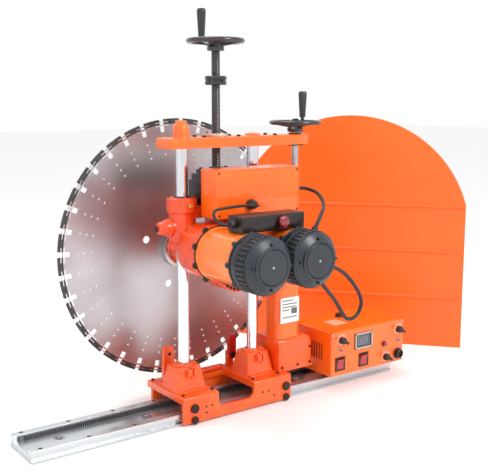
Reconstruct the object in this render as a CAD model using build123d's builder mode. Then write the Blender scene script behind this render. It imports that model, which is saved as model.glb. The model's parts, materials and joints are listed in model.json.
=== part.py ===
from build123d import *
from math import asin, atan2, cos, degrees, hypot, pi, radians, sin, sqrt, tan
import os

# Track-mounted wall saw with its control box and a loose blade guard.
# Millimetres. X runs along the rail, Y away from the operator towards the blade, Z up.
# The origin is the middle of the rail's underside.

os.makedirs("parts", exist_ok=True)

# ---- driving dimensions -------------------------------------------------------------
FIT = 0.05              # radial clearance of a running fit
SEAT = 0.02             # radial clearance of a fixed seat
GAP = 0.3               # air between parts that pass each other

RAIL_LENGTH = 960.0
RAIL_WIDTH = 114.0
RAIL_HEIGHT = 25.0
RIDGE_WIDTH = 20.0
CHANNEL_FLOOR = 14.0
GROOVE_LOW = 4.0
GROOVE_HIGH = 15.0
GROOVE_DEPTH = 7.0
RAIL_SCREWS = 10
RAIL_SCREW_END = 20.0
ANCHOR_RADIUS = 7.0
ANCHOR_OUTER = 400.0
ANCHOR_INNER = 200.0

FEED_MODULE = 1.5
RACK_PITCH_Y = 30.0
RACK_LENGTH = 940.0
RACK_TOP = 23.0
RACK_PINION_TEETH = 20
OUTPUT_GEAR_TEETH = 32
FEED_PINION_TEETH = 16
FEED_MOTOR_TEETH = 22

COLUMN_RADIUS = 13.0
COLUMN_LEFT = -105.0
COLUMN_RIGHT = 81.0

CARRIAGE_LEFT = -149.0
CARRIAGE_RIGHT = 140.0
CARRIAGE_TOP = 62.0
CARRIAGE_UNDER = 47.0
CARRIAGE_FOOT = 4.0
CARRIAGE_BACK = 85.0
SKIRT_Y = 69.0
SKIRT_WALL = 8.0
WINDOW_LEFT = -60.0
WINDOW_RIGHT = 36.0
WINDOW_SILL = 27.0
WINDOW_BACK = 52.0
SOCKET_TOP = 112.0
SOCKET_BASE = (76.0, 72.0)
SOCKET_HEAD = (58.0, 54.0)

UPPER_ROLLER = 10.0
SHOE_RADIUS = 5.0
ROLLER_LEFT = -122.0
ROLLER_RIGHT = 126.0

BEAM_UNDER = 583.0
BEAM_THICK = 22.0
BEAM_LEFT = -150.0
BEAM_RIGHT = 233.0
BEAM_HALF = 32.0

SCREW_X = -17.0
SCREW_RADIUS = 9.5
SCREW_FOOT = 470.0
COLLAR_LOW = 714.0
LIFT_WHEEL_Z = 806.0
LIFT_WHEEL_RADIUS = 62.5
FEED_X = 203.0
FEED_RADIUS = 8.0
FEED_WHEEL_Z = 631.0
FEED_WHEEL_RADIUS = 60.5

BLADE_RADIUS = 300.0
BLADE_SEGMENTS = 36
BLADE_TURN = -7.6
BLADE_Y = 157.0
CORE_THICK = 4.0
SEGMENT_THICK = 5.2
SEGMENT_HEIGHT = 12.0
SEGMENT_LENGTH = 40.0
SLOT_WIDTH = 12.0
SLOT_FOOT = 271.0
VENT_RADII = (252.0, 236.0, 220.0)
VENT_RADIUS = 2.3
SPINDLE_X = -22.0
SPINDLE_Z = 341.0
FLANGE_RADIUS = 45.0

DRIVE_MODULE = 2.0
BULL_TEETH = 50
MOTOR_PINION_TEETH = 15
MOTOR_SPREAD = 58.0
MOTOR_RADIUS = 55.0
MOTOR_WALL = 4.0
MOTOR_CAP_RADIUS = 57.0
MOTOR_END_DISC = 33.0
CASE_FRONT = -95.0
CASE_LID = 7.0
CASE_DEEP = -44.0
CASE_BACK = -30.0
MOTOR_JOINT_Y = -98.0
CAP_Y = -218.0
MOTOR_END_Y = -285.0

SLEEVE_RADIUS = 29.0
SLEEVE_LOW = 371.0
SLEEVE_TOP = 478.0
BRIDGE_LOW = 436.0
BRIDGE_TOP = 462.0
THRUST_TOP = 535.0
QUILL_RADIUS = 36.0
QUILL_END = 138.0
BEARING_RADIUS = 26.0
SPINDLE_RADIUS = 15.0

COVER = ((-80.0, 137.0), (-95.0, -35.0), (440.0, 541.0))
SHEET = 2.0
SWITCH_BOX = ((-95.0, 62.0), (-205.0, -155.0), (426.0, 458.0))
ESTOP_X = 0.0
ESTOP_Z = 443.0
MOTOR_GLANDS = ((-228.0, 58.0), (-232.0, -20.0), (-232.0, -50.0))
GLAND_X = 5.0
GLAND_Z = 466.0

GEARBOX = ((120.0, 222.0), (-50.0, 46.0), (62.0, 139.0))
GEARBOX_WALL = 4.0
FEED_HOUSING_RIGHT = 186.0
FEED_HOUSING_BACK = 10.0
FEED_HOUSING_TOP = 320.0

BOX = ((245.0, 485.0), (-90.0, 60.0), (37.0, 143.0))
GUARD_FOOT = (789.0, -41.4)
GUARD_TURN = 130.0
GUARD_START = 15.0
GUARD_WIDTH = 636.0
GUARD_CROWN_RADIUS = 330.0
GUARD_CROWN_Z = 309.0
GUARD_SHEET = 2.0
GUARD_LIP = 24.0
GUARD_BEADS = (139.5, 268.0, 393.0)


# ---- helpers ------------------------------------------------------------------------
LOW = (Align.CENTER, Align.CENTER, Align.MIN)


def keep(piece, name):
    piece.part.label = name
    export_step(piece.part, f"parts/{name}.step")


def level(z):
    return Plane.XY.offset(z)


def facing(y):
    """Plane at this Y that faces the operator: extrude runs towards -Y."""
    return Plane.XZ.offset(-y)


def across(x):
    return Plane.YZ.offset(x)


def block(xs, ys, zs, mode=Mode.ADD):
    middle = [(low + high) / 2 for low, high in (xs, ys, zs)]
    with Locations(tuple(middle)):
        Box(xs[1] - xs[0], ys[1] - ys[0], zs[1] - zs[0], mode=mode)


def bar_z(x, y, z0, z1, radius, mode=Mode.ADD):
    with Locations((x, y, z0)):
        Cylinder(radius, z1 - z0, align=LOW, mode=mode)


def bar_y(x, y0, y1, z, radius, mode=Mode.ADD):
    with Locations((x, y1, z)):
        Cylinder(radius, y1 - y0, rotation=(90, 0, 0), align=LOW, mode=mode)


def bar_x(x0, x1, y, z, radius, mode=Mode.ADD):
    with Locations((x0, y, z)):
        Cylinder(radius, x1 - x0, rotation=(0, 90, 0), align=LOW, mode=mode)


def gear_profile(teeth, module, turn, slack=0.12):
    """Involute outline of a spur gear, one tooth centred at the angle turn, in degrees."""
    pitch = teeth * module / 2
    base = pitch * cos(radians(20))
    root = pitch - 1.25 * module
    tip = pitch + module
    start = max(base, root)
    half = pi / (2 * teeth) - slack / (2 * pitch)
    roll = tan(radians(20)) - radians(20)
    flank = []
    for step in range(5):
        radius = start + (tip - start) * step / 4
        lean = sqrt((radius / base) ** 2 - 1)
        flank.append((radius, half + roll - (lean - atan2(lean, 1))))
    if base > root:
        flank.insert(0, (root, flank[0][1]))
    outline = []
    for tooth in range(teeth):
        middle = radians(turn) + 2 * pi * tooth / teeth
        sides = [(r, middle - a) for r, a in flank] + [(r, middle + a) for r, a in reversed(flank)]
        outline += [(r * cos(a), r * sin(a)) for r, a in sides]
    return outline


def mesh_turn(driver_teeth, driver_turn, driven_teeth, line):
    """Turn of a driven gear so that it meshes with its driver along the line, in degrees."""
    pitch = 360 / driver_teeth
    offset = (driver_turn - line + pitch / 2) % pitch - pitch / 2
    return line + 180 - offset * driver_teeth / driven_teeth + 180 / driven_teeth


def wheel_spokes(x, y, hub_z, rim_z, hub_r, rim_r, start):
    """Three dished flat spokes between a hub and a rim."""
    for spoke in range(3):
        turn = start + 120 * spoke
        run = Plane((x, y, 0), x_dir=(cos(radians(turn)), sin(radians(turn)), 0),
                    z_dir=(-sin(radians(turn)), cos(radians(turn)), 0))
        flip = run.y_dir.Z
        with BuildSketch(run.offset(-6)) as side:
            with BuildLine():
                Polyline((hub_r, flip * hub_z), (rim_r, flip * (rim_z - 3)),
                         (rim_r, flip * (rim_z + 3)), (hub_r, flip * (hub_z + 9)), close=True)
            make_face()
        extrude(side.sketch, amount=12)


# ---- rail ---------------------------------------------------------------------------
half_rail = RAIL_WIDTH / 2
ridge_in = half_rail - RIDGE_WIDTH
screw_y = half_rail - RIDGE_WIDTH / 2 + 2
screw_xs = [
    -RAIL_LENGTH / 2 + RAIL_SCREW_END + i * (RAIL_LENGTH - 2 * RAIL_SCREW_END) / (RAIL_SCREWS - 1)
    for i in range(RAIL_SCREWS)
]
screw_spots = [(x, side * screw_y) for x in screw_xs for side in (-1, 1)]
SCREW_SINK = 5.5
SCREW_HEAD = 4.2
SCREW_SHANK = 2.5

with BuildPart() as rail:
    with BuildSketch(across(-RAIL_LENGTH / 2)):
        with BuildLine():
            half = [
                (0, 0), (half_rail, 0), (half_rail, GROOVE_LOW),
                (half_rail - GROOVE_DEPTH, GROOVE_LOW), (half_rail - GROOVE_DEPTH, GROOVE_HIGH),
                (half_rail, GROOVE_HIGH), (half_rail, RAIL_HEIGHT - 1.5),
                (half_rail - 1.5, RAIL_HEIGHT), (ridge_in + 1, RAIL_HEIGHT),
                (ridge_in, RAIL_HEIGHT - 1), (ridge_in, CHANNEL_FLOOR), (0, CHANNEL_FLOOR),
            ]
            Polyline(*half, close=True)
        make_face()
        mirror(about=Plane.YZ)
    extrude(amount=RAIL_LENGTH)
    with Locations(*[(x, y, RAIL_HEIGHT - SCREW_SINK) for x, y in screw_spots]):
        Cylinder(SCREW_HEAD + 0.4, SCREW_SINK, align=LOW, mode=Mode.SUBTRACT)
    with Locations(*[(x, y, CHANNEL_FLOOR) for x, y in screw_spots]):
        Cylinder(SCREW_SHANK + SEAT, RAIL_HEIGHT - CHANNEL_FLOOR, align=LOW, mode=Mode.SUBTRACT)
    for x in (-ANCHOR_OUTER, -ANCHOR_INNER, ANCHOR_INNER, ANCHOR_OUTER):
        bar_z(x, 0, 0, CHANNEL_FLOOR, ANCHOR_RADIUS, Mode.SUBTRACT)
keep(rail, "rail")

with BuildPart() as rail_screws:
    with Locations(*[(x, y, RAIL_HEIGHT - SCREW_SINK) for x, y in screw_spots]):
        Cylinder(SCREW_HEAD, SCREW_SINK - 1, align=LOW)
    with Locations(*[(x, y, CHANNEL_FLOOR + 0.1) for x, y in screw_spots]):
        Cylinder(SCREW_SHANK, RAIL_HEIGHT - SCREW_SINK - CHANNEL_FLOOR, align=LOW)
    with Locations(*[(x, y, RAIL_HEIGHT - SCREW_SINK + 2) for x, y in screw_spots]):
        with BuildSketch(level(0)) as rail_hexagon:
            RegularPolygon(2.2, 6)
        extrude(rail_hexagon.sketch, amount=SCREW_SINK, mode=Mode.SUBTRACT)
keep(rail_screws, "rail_screws")

# ---- feed train: rack, output shaft, hand shaft and feed motor, all on vertical axes --
rack_pinion_r = RACK_PINION_TEETH * FEED_MODULE / 2
output_gear_r = OUTPUT_GEAR_TEETH * FEED_MODULE / 2
feed_pinion_r = FEED_PINION_TEETH * FEED_MODULE / 2
feed_motor_r = FEED_MOTOR_TEETH * FEED_MODULE / 2
output_y = RACK_PITCH_Y - rack_pinion_r
output_x = FEED_X - sqrt((output_gear_r + feed_pinion_r) ** 2 - output_y ** 2)
motor_x = GEARBOX[0][0] + 30
motor_y = output_y - sqrt((output_gear_r + feed_motor_r) ** 2 - (output_x - motor_x) ** 2)
gear_low = 70.0
gear_high = 80.0

with BuildPart() as rack:
    pitch = pi * FEED_MODULE
    gaps = int(RACK_LENGTH / 2 / pitch) - 1
    phase = output_x % pitch
    tip_y = RACK_PITCH_Y - FEED_MODULE
    root_y = RACK_PITCH_Y + 1.25 * FEED_MODULE
    slope = tan(radians(20))
    with BuildSketch(level(CHANNEL_FLOOR)):
        with BuildLine():
            outline = [(-RACK_LENGTH / 2, ridge_in), (-RACK_LENGTH / 2, tip_y)]
            for k in range(-gaps, gaps + 1):
                x = phase + k * pitch
                wide = pitch / 4 + slope * FEED_MODULE + 0.06
                slim = pitch / 4 - slope * 1.25 * FEED_MODULE + 0.06
                outline += [(x - wide, tip_y), (x - slim, root_y), (x + slim, root_y), (x + wide, tip_y)]
            outline += [(RACK_LENGTH / 2, tip_y), (RACK_LENGTH / 2, ridge_in)]
            Polyline(*outline, close=True)
        make_face()
    extrude(amount=RACK_TOP - CHANNEL_FLOOR)
keep(rack, "rack")

output_line = degrees(atan2(-output_y, FEED_X - output_x))
motor_line = degrees(atan2(motor_y - output_y, motor_x - output_x))
output_turn = 0.0

with BuildPart() as feed_output_shaft:
    bar_z(output_x, output_y, 16, 133, 5)
    with BuildSketch(Plane((output_x, output_y, 15.5))):
        with BuildLine():
            Polyline(*gear_profile(RACK_PINION_TEETH, FEED_MODULE, 90), close=True)
        make_face()
    extrude(amount=8)
    with BuildSketch(Plane((output_x, output_y, gear_low))):
        with BuildLine():
            Polyline(*gear_profile(OUTPUT_GEAR_TEETH, FEED_MODULE, output_turn), close=True)
        make_face()
    extrude(amount=gear_high - gear_low)
keep(feed_output_shaft, "feed_output_shaft")

with BuildPart() as feed_shaft:
    bar_z(FEED_X, 0, 63, FEED_WHEEL_Z - 6, FEED_RADIUS)
    with BuildSketch(Plane((FEED_X, 0, gear_low))):
        with BuildLine():
            turn = mesh_turn(OUTPUT_GEAR_TEETH, output_turn, FEED_PINION_TEETH, output_line)
            Polyline(*gear_profile(FEED_PINION_TEETH, FEED_MODULE, turn), close=True)
        make_face()
    extrude(amount=gear_high - gear_low)
keep(feed_shaft, "feed_shaft")

with BuildPart() as feed_rotor:
    bar_z(motor_x, motor_y, 68, 302, 5)
    bar_z(motor_x, motor_y, 175, 265, 16)
    with BuildSketch(Plane((motor_x, motor_y, gear_low))):
        with BuildLine():
            turn = mesh_turn(OUTPUT_GEAR_TEETH, output_turn, FEED_MOTOR_TEETH, motor_line)
            Polyline(*gear_profile(FEED_MOTOR_TEETH, FEED_MODULE, turn), close=True)
        make_face()
    extrude(amount=gear_high - gear_low)
keep(feed_rotor, "feed_rotor")

with BuildPart() as feed_gearbox:
    (gx0, gx1), (gy0, gy1), (gz0, gz1) = GEARBOX
    with BuildSketch(facing(gy1)):
        with BuildLine():
            Polyline((gx0, gz0 + 5), (gx1, gz0 + 5), (gx1, gz1), (gx0, gz1), close=True)
        make_face()
    extrude(amount=gy1 - gy0)
    fillet(feed_gearbox.edges().filter_by(Axis.Y).sort_by(lambda e: e.center().X + e.center().Z)[-1], 22)
    fillet(feed_gearbox.edges().filter_by(Axis.Z).group_by(Axis.X)[-1], 10)
    w = GEARBOX_WALL
    block((gx0 + w, gx1 - w), (gy0 + w, gy1 - w), (gz0, 100), Mode.SUBTRACT)
    bar_z(output_x, output_y, 99, 134, 5 + FIT, Mode.SUBTRACT)
    bar_z(FEED_X, 0, 99, gz1, 11 + SEAT, Mode.SUBTRACT)
    bar_z(motor_x, motor_y, 99, gz1, 12, Mode.SUBTRACT)
    # separate floor plate
    block((gx0, gx1), (gy0, gy1), (gz0, gz0 + 4.9))
    bar_z(output_x, output_y, gz0, gz0 + 4.9, 9 + SEAT, Mode.SUBTRACT)
    bar_z(FEED_X, 0, gz0, gz0 + 4.9, 12 + SEAT, Mode.SUBTRACT)
keep(feed_gearbox, "feed_gearbox")

with BuildPart() as feed_bushes:
    for x, y, z0, z1, outer, inner in (
        (output_x, output_y, gz0, gz0 + 5, 9, 5),
        (FEED_X, 0, gz0, gz0 + 5, 12, FEED_RADIUS),
        (FEED_X, 0, 100, gz1, 11, FEED_RADIUS),
        (FEED_X, 0, BEAM_UNDER, BEAM_UNDER + BEAM_THICK, 12, FEED_RADIUS),
    ):
        bar_z(x, y, z0, z1, outer)
        bar_z(x, y, z0, z1, inner + FIT, Mode.SUBTRACT)
    bar_z(FEED_X, 0, BEAM_UNDER - 5, BEAM_UNDER, 15)
    bar_z(FEED_X, 0, BEAM_UNDER - 5, BEAM_UNDER, FEED_RADIUS + FIT, Mode.SUBTRACT)
    for z0, z1, outer in ((300, 308, 10), (102, 112, 11.9)):
        bar_z(motor_x, motor_y, z0, z1, outer)
        bar_z(motor_x, motor_y, z0, z1, 5 + FIT, Mode.SUBTRACT)
keep(feed_bushes, "feed_bushes")

with BuildPart() as feed_motor_housing:
    with BuildSketch(level(gz1)):
        with Locations(((gx0 + FEED_HOUSING_RIGHT) / 2, (gy0 + FEED_HOUSING_BACK) / 2)):
            RectangleRounded(FEED_HOUSING_RIGHT - gx0, FEED_HOUSING_BACK - gy0, 18)
    extrude(amount=FEED_HOUSING_TOP - gz1)
    fillet(feed_motor_housing.edges().group_by(Axis.Z)[-1], 8)
    bar_z(motor_x, motor_y, gz1, 300, 26.5, Mode.SUBTRACT)
    bar_z(motor_x, motor_y, 300, 310, 10 + SEAT, Mode.SUBTRACT)
keep(feed_motor_housing, "feed_motor_housing")

with BuildPart() as feed_stator:
    bar_z(motor_x, motor_y, 170, 270, 26.4)
    bar_z(motor_x, motor_y, 170, 270, 16.8, Mode.SUBTRACT)
keep(feed_stator, "feed_stator")

# ---- carriage -----------------------------------------------------------------------
upper_z = RAIL_HEIGHT + UPPER_ROLLER + GAP
lower_z = GROOVE_HIGH - SHOE_RADIUS - GAP
socket_xs = (COLUMN_LEFT, COLUMN_RIGHT)

with BuildPart() as carriage_casting:
    block((CARRIAGE_LEFT, CARRIAGE_RIGHT), (-SKIRT_Y, CARRIAGE_BACK), (CARRIAGE_UNDER, CARRIAGE_TOP))
    block((CARRIAGE_LEFT, CARRIAGE_RIGHT), (-SKIRT_Y, -SKIRT_Y + SKIRT_WALL), (CARRIAGE_FOOT, CARRIAGE_TOP))
    block((CARRIAGE_LEFT, CARRIAGE_RIGHT), (SKIRT_Y - SKIRT_WALL, SKIRT_Y), (CARRIAGE_FOOT, CARRIAGE_TOP))
    fillet(carriage_casting.edges().filter_by(Axis.X).group_by(Axis.Z)[-1], 4)
    with BuildSketch(facing(WINDOW_BACK)):
        with BuildLine():
            Polyline((WINDOW_LEFT, CARRIAGE_TOP + 1), (WINDOW_LEFT, WINDOW_SILL),
                     (WINDOW_RIGHT, WINDOW_SILL), (WINDOW_RIGHT, CARRIAGE_TOP + 1), close=True)
        make_face()
        fillet([v for v in vertices() if abs(v.Y - WINDOW_SILL) < 1], 14)
    extrude(amount=WINDOW_BACK + SKIRT_Y + 1, mode=Mode.SUBTRACT)
    for x in socket_xs:
        with BuildSketch(level(CARRIAGE_TOP)):
            with Locations((x, 0)):
                RectangleRounded(*SOCKET_BASE, 8)
        with BuildSketch(level(SOCKET_TOP)):
            with Locations((x, 0)):
                RectangleRounded(*SOCKET_HEAD, 10)
        loft()
        bar_z(x, 0, CARRIAGE_UNDER + 6, SOCKET_TOP, COLUMN_RADIUS + SEAT, Mode.SUBTRACT)
        # clamp slit at the front of each socket
        block((x - 1.5, x + 1.5), (-SOCKET_BASE[1] / 2, -COLUMN_RADIUS + 2), (86, SOCKET_TOP), Mode.SUBTRACT)
    # rear upright lug and the bracket of the lock lever
    with BuildSketch(facing(66)):
        with BuildLine():
            Polyline((-123, CARRIAGE_TOP - 1), (-93, CARRIAGE_TOP - 1), (-95, 140), (-121, 140), close=True)
        make_face()
        fillet([v for v in vertices() if v.Y > 120], 9)
    extrude(amount=10)
    block((56, 74), (66, 74), (CARRIAGE_TOP - 1, 98))
    bar_y(65, 60, 80, 89, 4 + SEAT, Mode.SUBTRACT)
    for x in (ROLLER_LEFT, ROLLER_RIGHT):
        for side in (-1, 1):
            y0, y1 = sorted((side * (SKIRT_Y - SKIRT_WALL - 1), side * (SKIRT_Y + 1)))
            bar_y(x, y0, y1, upper_z, 4 + SEAT, Mode.SUBTRACT)
            bar_y(x, y0, y1, lower_z, 2.5 + SEAT, Mode.SUBTRACT)
keep(carriage_casting, "carriage_casting")

with BuildPart() as roller_axles:
    for x in (ROLLER_LEFT, ROLLER_RIGHT):
        for side in (-1, 1):
            y0, y1 = sorted((side * 42, side * SKIRT_Y))
            bar_y(x, y0, y1, upper_z, 4)
            y0, y1 = sorted((side * 51.5, side * SKIRT_Y))
            bar_y(x, y0, y1, lower_z, 2.5)
            y0, y1 = sorted((side * SKIRT_Y, side * (SKIRT_Y + 4)))
            bar_y(x, y0, y1, upper_z, 10)
            bar_y(x, y0, y1, lower_z, 8.5)
    # pivot of the lock lever
    bar_y(65, 53, 74, 89, 4)
    bar_y(65, 51, 55.5, 89, 7)
keep(roller_axles, "carriage_pins")

for place, x in (("left", ROLLER_LEFT), ("right", ROLLER_RIGHT)):
    with BuildPart() as rollers:
        for side in (-1, 1):
            y0, y1 = sorted((side * 42, side * 56))
            bar_y(x, y0, y1, upper_z, UPPER_ROLLER)
            bar_y(x, y0, y1, upper_z, 4 + FIT, Mode.SUBTRACT)
    keep(rollers, f"rollers_{place}")

with BuildPart() as guide_shoes:
    for x in (ROLLER_LEFT, ROLLER_RIGHT):
        for side in (-1, 1):
            y0, y1 = sorted((side * 51.5, side * 60.5))
            bar_y(x, y0, y1, lower_z, SHOE_RADIUS)
            bar_y(x, y0, y1, lower_z, 2.5 + SEAT, Mode.SUBTRACT)
keep(guide_shoes, "guide_shoes")

with BuildPart() as columns:
    for x in socket_xs:
        bar_z(x, 0, CARRIAGE_UNDER + 6, BEAM_UNDER + BEAM_THICK - 1, COLUMN_RADIUS)
    chamfer(columns.edges().group_by(Axis.Z)[-1], 1)
keep(columns, "columns")

beam_top = BEAM_UNDER + BEAM_THICK
with BuildPart() as top_beam:
    with BuildSketch(level(BEAM_UNDER)):
        with BuildLine():
            Polyline((BEAM_LEFT, -BEAM_HALF), (FEED_X - 12, -BEAM_HALF), (BEAM_RIGHT, -16),
                     (BEAM_RIGHT, 16), (FEED_X - 12, BEAM_HALF), (BEAM_LEFT, BEAM_HALF), close=True)
        make_face()
        fillet(vertices().group_by(Axis.X)[-1], 14)
        fillet(vertices().group_by(Axis.X)[0], 8)
    extrude(amount=BEAM_THICK)
    chamfer(top_beam.edges().group_by(Axis.Z)[-1], 3)
    for x in socket_xs:
        bar_z(x, 0, BEAM_UNDER, beam_top, COLUMN_RADIUS + SEAT, Mode.SUBTRACT)
    bar_z(SCREW_X, 0, BEAM_UNDER, beam_top, 15 + SEAT, Mode.SUBTRACT)
    bar_z(FEED_X, 0, BEAM_UNDER, beam_top, 12 + SEAT, Mode.SUBTRACT)
    # domed caps over the column ends
    for x, tall in ((COLUMN_LEFT, 36), (COLUMN_RIGHT, 6)):
        with BuildSketch(Plane.XZ) as dome:
            with BuildLine():
                Polyline((x, beam_top), (x + 18, beam_top), (x + 16, beam_top + tall * 2 / 3),
                         (x + 8, beam_top + tall), (x, beam_top + tall), close=True)
            make_face()
        revolve(dome.sketch, axis=Axis((x, 0, 0), (0, 0, 1)))
keep(top_beam, "top_beam")

with BuildPart() as lift_nut:
    bar_z(SCREW_X, 0, BEAM_UNDER, beam_top, 15)
    bar_z(SCREW_X, 0, beam_top, beam_top + 7, 27)
    bar_z(SCREW_X, 0, BEAM_UNDER, beam_top + 7, SCREW_RADIUS + FIT, Mode.SUBTRACT)
keep(lift_nut, "lift_nut")

with BuildPart() as lock_lever:
    with BuildSketch(facing(64)):
        with Locations((65, 108)):
            SlotOverall(60, 22, rotation=90)
        with Locations((65, 89)):
            Circle(4 + FIT, mode=Mode.SUBTRACT)
    extrude(amount=8)
    fillet(lock_lever.edges().group_by(Axis.Y)[0], 1.5)
keep(lock_lever, "lock_lever")

# ---- head ---------------------------------------------------------------------------
drive_distance = DRIVE_MODULE * (BULL_TEETH + MOTOR_PINION_TEETH) / 2
MOTOR_Z = SPINDLE_Z + sqrt(drive_distance ** 2 - MOTOR_SPREAD ** 2)
motor_xs = (SPINDLE_X - MOTOR_SPREAD, SPINDLE_X + MOTOR_SPREAD)
bull_r = DRIVE_MODULE * BULL_TEETH / 2
pinion_r = DRIVE_MODULE * MOTOR_PINION_TEETH / 2
MOTOR_SHAFT = 8.0


def case_outline(around_spindle, around_motor):
    """Rounded triangle round the spindle and the two motors."""
    with Locations((SPINDLE_X, SPINDLE_Z)):
        Circle(around_spindle)
    with Locations(*[(x, MOTOR_Z) for x in motor_xs]):
        Circle(around_motor)
    with Locations((SPINDLE_X, MOTOR_Z)):
        Rectangle(2 * MOTOR_SPREAD, 2 * around_motor)


with BuildPart() as head_casting:
    with BuildSketch(facing(CASE_BACK)) as case_shape:
        case_outline(bull_r + 10, MOTOR_RADIUS + 2)
    extrude(case_shape.sketch, amount=CASE_BACK - CASE_FRONT - CASE_LID)
    for x in socket_xs:
        bar_z(x, 0, SLEEVE_LOW, SLEEVE_TOP, SLEEVE_RADIUS)
        bar_z(x, 0, SLEEVE_TOP - 21, SLEEVE_TOP, SLEEVE_RADIUS + 4)
        block((x - 20, x + 20), (CASE_BACK - 5, 0), (SLEEVE_LOW, MOTOR_Z + 40))
    block((COLUMN_LEFT, COLUMN_RIGHT), (-27, 27), (BRIDGE_LOW, BRIDGE_TOP))
    block((-40, 60), (-60, 10), (MOTOR_Z + 40, COVER[2][0]))
    bar_y(SPINDLE_X, CASE_BACK - 5, QUILL_END, SPINDLE_Z, QUILL_RADIUS)
    block((SPINDLE_X - 8, SPINDLE_X + 8), (CASE_BACK - 5, 27), (SPINDLE_Z + 30, BRIDGE_LOW + 5))
    # horizontal boss of the column clamp
    with BuildSketch(Plane.XZ) as boss:
        with BuildLine():
            Polyline((COLUMN_LEFT, 417), (COLUMN_LEFT, 434), (-146, 434), (-164, 429),
                     (-169, 417), close=True)
        make_face()
    revolve(boss.sketch, axis=Axis((0, 0, 417), (1, 0, 0)))
    # gear space, bearing seats and column bores
    with BuildSketch(facing(CASE_DEEP)) as cavity:
        case_outline(bull_r + 4, pinion_r + 6)
    extrude(cavity.sketch, amount=60, mode=Mode.SUBTRACT)
    bar_y(SPINDLE_X, CASE_DEEP, QUILL_END, SPINDLE_Z, BEARING_RADIUS + SEAT, Mode.SUBTRACT)
    for x in socket_xs:
        bar_z(x, 0, SLEEVE_LOW - 1, SLEEVE_TOP + 1, COLUMN_RADIUS + 4 + SEAT, Mode.SUBTRACT)
    for x in motor_xs:
        bar_y(x, CASE_DEEP, CASE_DEEP + 6, MOTOR_Z, MOTOR_SHAFT + 0.5, Mode.SUBTRACT)
keep(head_casting, "head_casting")

with BuildPart() as column_bushes:
    for x in socket_xs:
        bar_z(x, 0, SLEEVE_LOW, SLEEVE_TOP, COLUMN_RADIUS + 4)
        bar_z(x, 0, SLEEVE_LOW, SLEEVE_TOP, COLUMN_RADIUS + FIT, Mode.SUBTRACT)
keep(column_bushes, "column_bushes")

with BuildPart() as gear_case_lid:
    with BuildSketch(facing(CASE_FRONT + CASE_LID)) as lid_shape:
        case_outline(bull_r + 10, MOTOR_RADIUS + 2)
    extrude(lid_shape.sketch, amount=CASE_LID)
    for x in motor_xs:
        bar_y(x, CASE_FRONT, CASE_FRONT + CASE_LID, MOTOR_Z, pinion_r + 5, Mode.SUBTRACT)
keep(gear_case_lid, "gear_case_lid")

with BuildPart() as motor_gaskets:
    for x in motor_xs:
        bar_y(x, MOTOR_JOINT_Y, CASE_FRONT, MOTOR_Z, MOTOR_CAP_RADIUS)
        bar_y(x, MOTOR_JOINT_Y, CASE_FRONT, MOTOR_Z, pinion_r + 7, Mode.SUBTRACT)
keep(motor_gaskets, "motor_gaskets")


def motor_housing(x):
    bar_y(x, CAP_Y, MOTOR_JOINT_Y, MOTOR_Z, MOTOR_RADIUS)
    bar_y(x, CAP_Y, MOTOR_JOINT_Y - 8, MOTOR_Z, MOTOR_RADIUS - MOTOR_WALL, Mode.SUBTRACT)
    bar_y(x, CAP_Y, MOTOR_JOINT_Y, MOTOR_Z, 17 + SEAT, Mode.SUBTRACT)


def motor_cap(x):
    """Black end bell: a shell with a rounded shoulder and a flat end disc."""
    shoulder = MOTOR_END_Y + 16
    with BuildSketch(Plane.XY.offset(MOTOR_Z)) as bell:
        with BuildLine():
            Polyline((x, CAP_Y), (x + MOTOR_CAP_RADIUS, CAP_Y), (x + MOTOR_CAP_RADIUS, shoulder),
                     (x + MOTOR_END_DISC + 6, MOTOR_END_Y + 4), (x + MOTOR_END_DISC, MOTOR_END_Y),
                     (x, MOTOR_END_Y), close=True)
        make_face()
        fillet([v for v in vertices() if abs(v.Y - shoulder) < 1], 10)
    revolve(bell.sketch, axis=Axis((x, 0, MOTOR_Z), (0, 1, 0)))
    bar_y(x, shoulder, CAP_Y, MOTOR_Z, MOTOR_CAP_RADIUS - 4, Mode.SUBTRACT)
    bar_y(x, shoulder - 8, shoulder, MOTOR_Z, 12 + SEAT, Mode.SUBTRACT)


def motor_stator(x):
    bar_y(x, -200, -125, MOTOR_Z, MOTOR_RADIUS - MOTOR_WALL - SEAT)
    bar_y(x, -200, -125, MOTOR_Z, 35, Mode.SUBTRACT)


def motor_bearings(x):
    bar_y(x, MOTOR_JOINT_Y - 8, MOTOR_JOINT_Y, MOTOR_Z, 17)
    bar_y(x, MOTOR_JOINT_Y - 8, MOTOR_JOINT_Y, MOTOR_Z, MOTOR_SHAFT + FIT, Mode.SUBTRACT)
    bar_y(x, MOTOR_END_Y + 8, MOTOR_END_Y + 16, MOTOR_Z, 12)
    bar_y(x, MOTOR_END_Y + 8, MOTOR_END_Y + 16, MOTOR_Z, 5 + FIT, Mode.SUBTRACT)


bull_turn = degrees(atan2(MOTOR_Z - SPINDLE_Z, MOTOR_SPREAD))
with BuildPart() as motor_housings:
    for x in motor_xs:
        motor_housing(x)
keep(motor_housings, "motor_housings")

with BuildPart() as motor_caps:
    for x in motor_xs:
        motor_cap(x)
keep(motor_caps, "motor_caps")

with BuildPart() as motor_stators:
    for x in motor_xs:
        motor_stator(x)
keep(motor_stators, "motor_stators")

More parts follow.
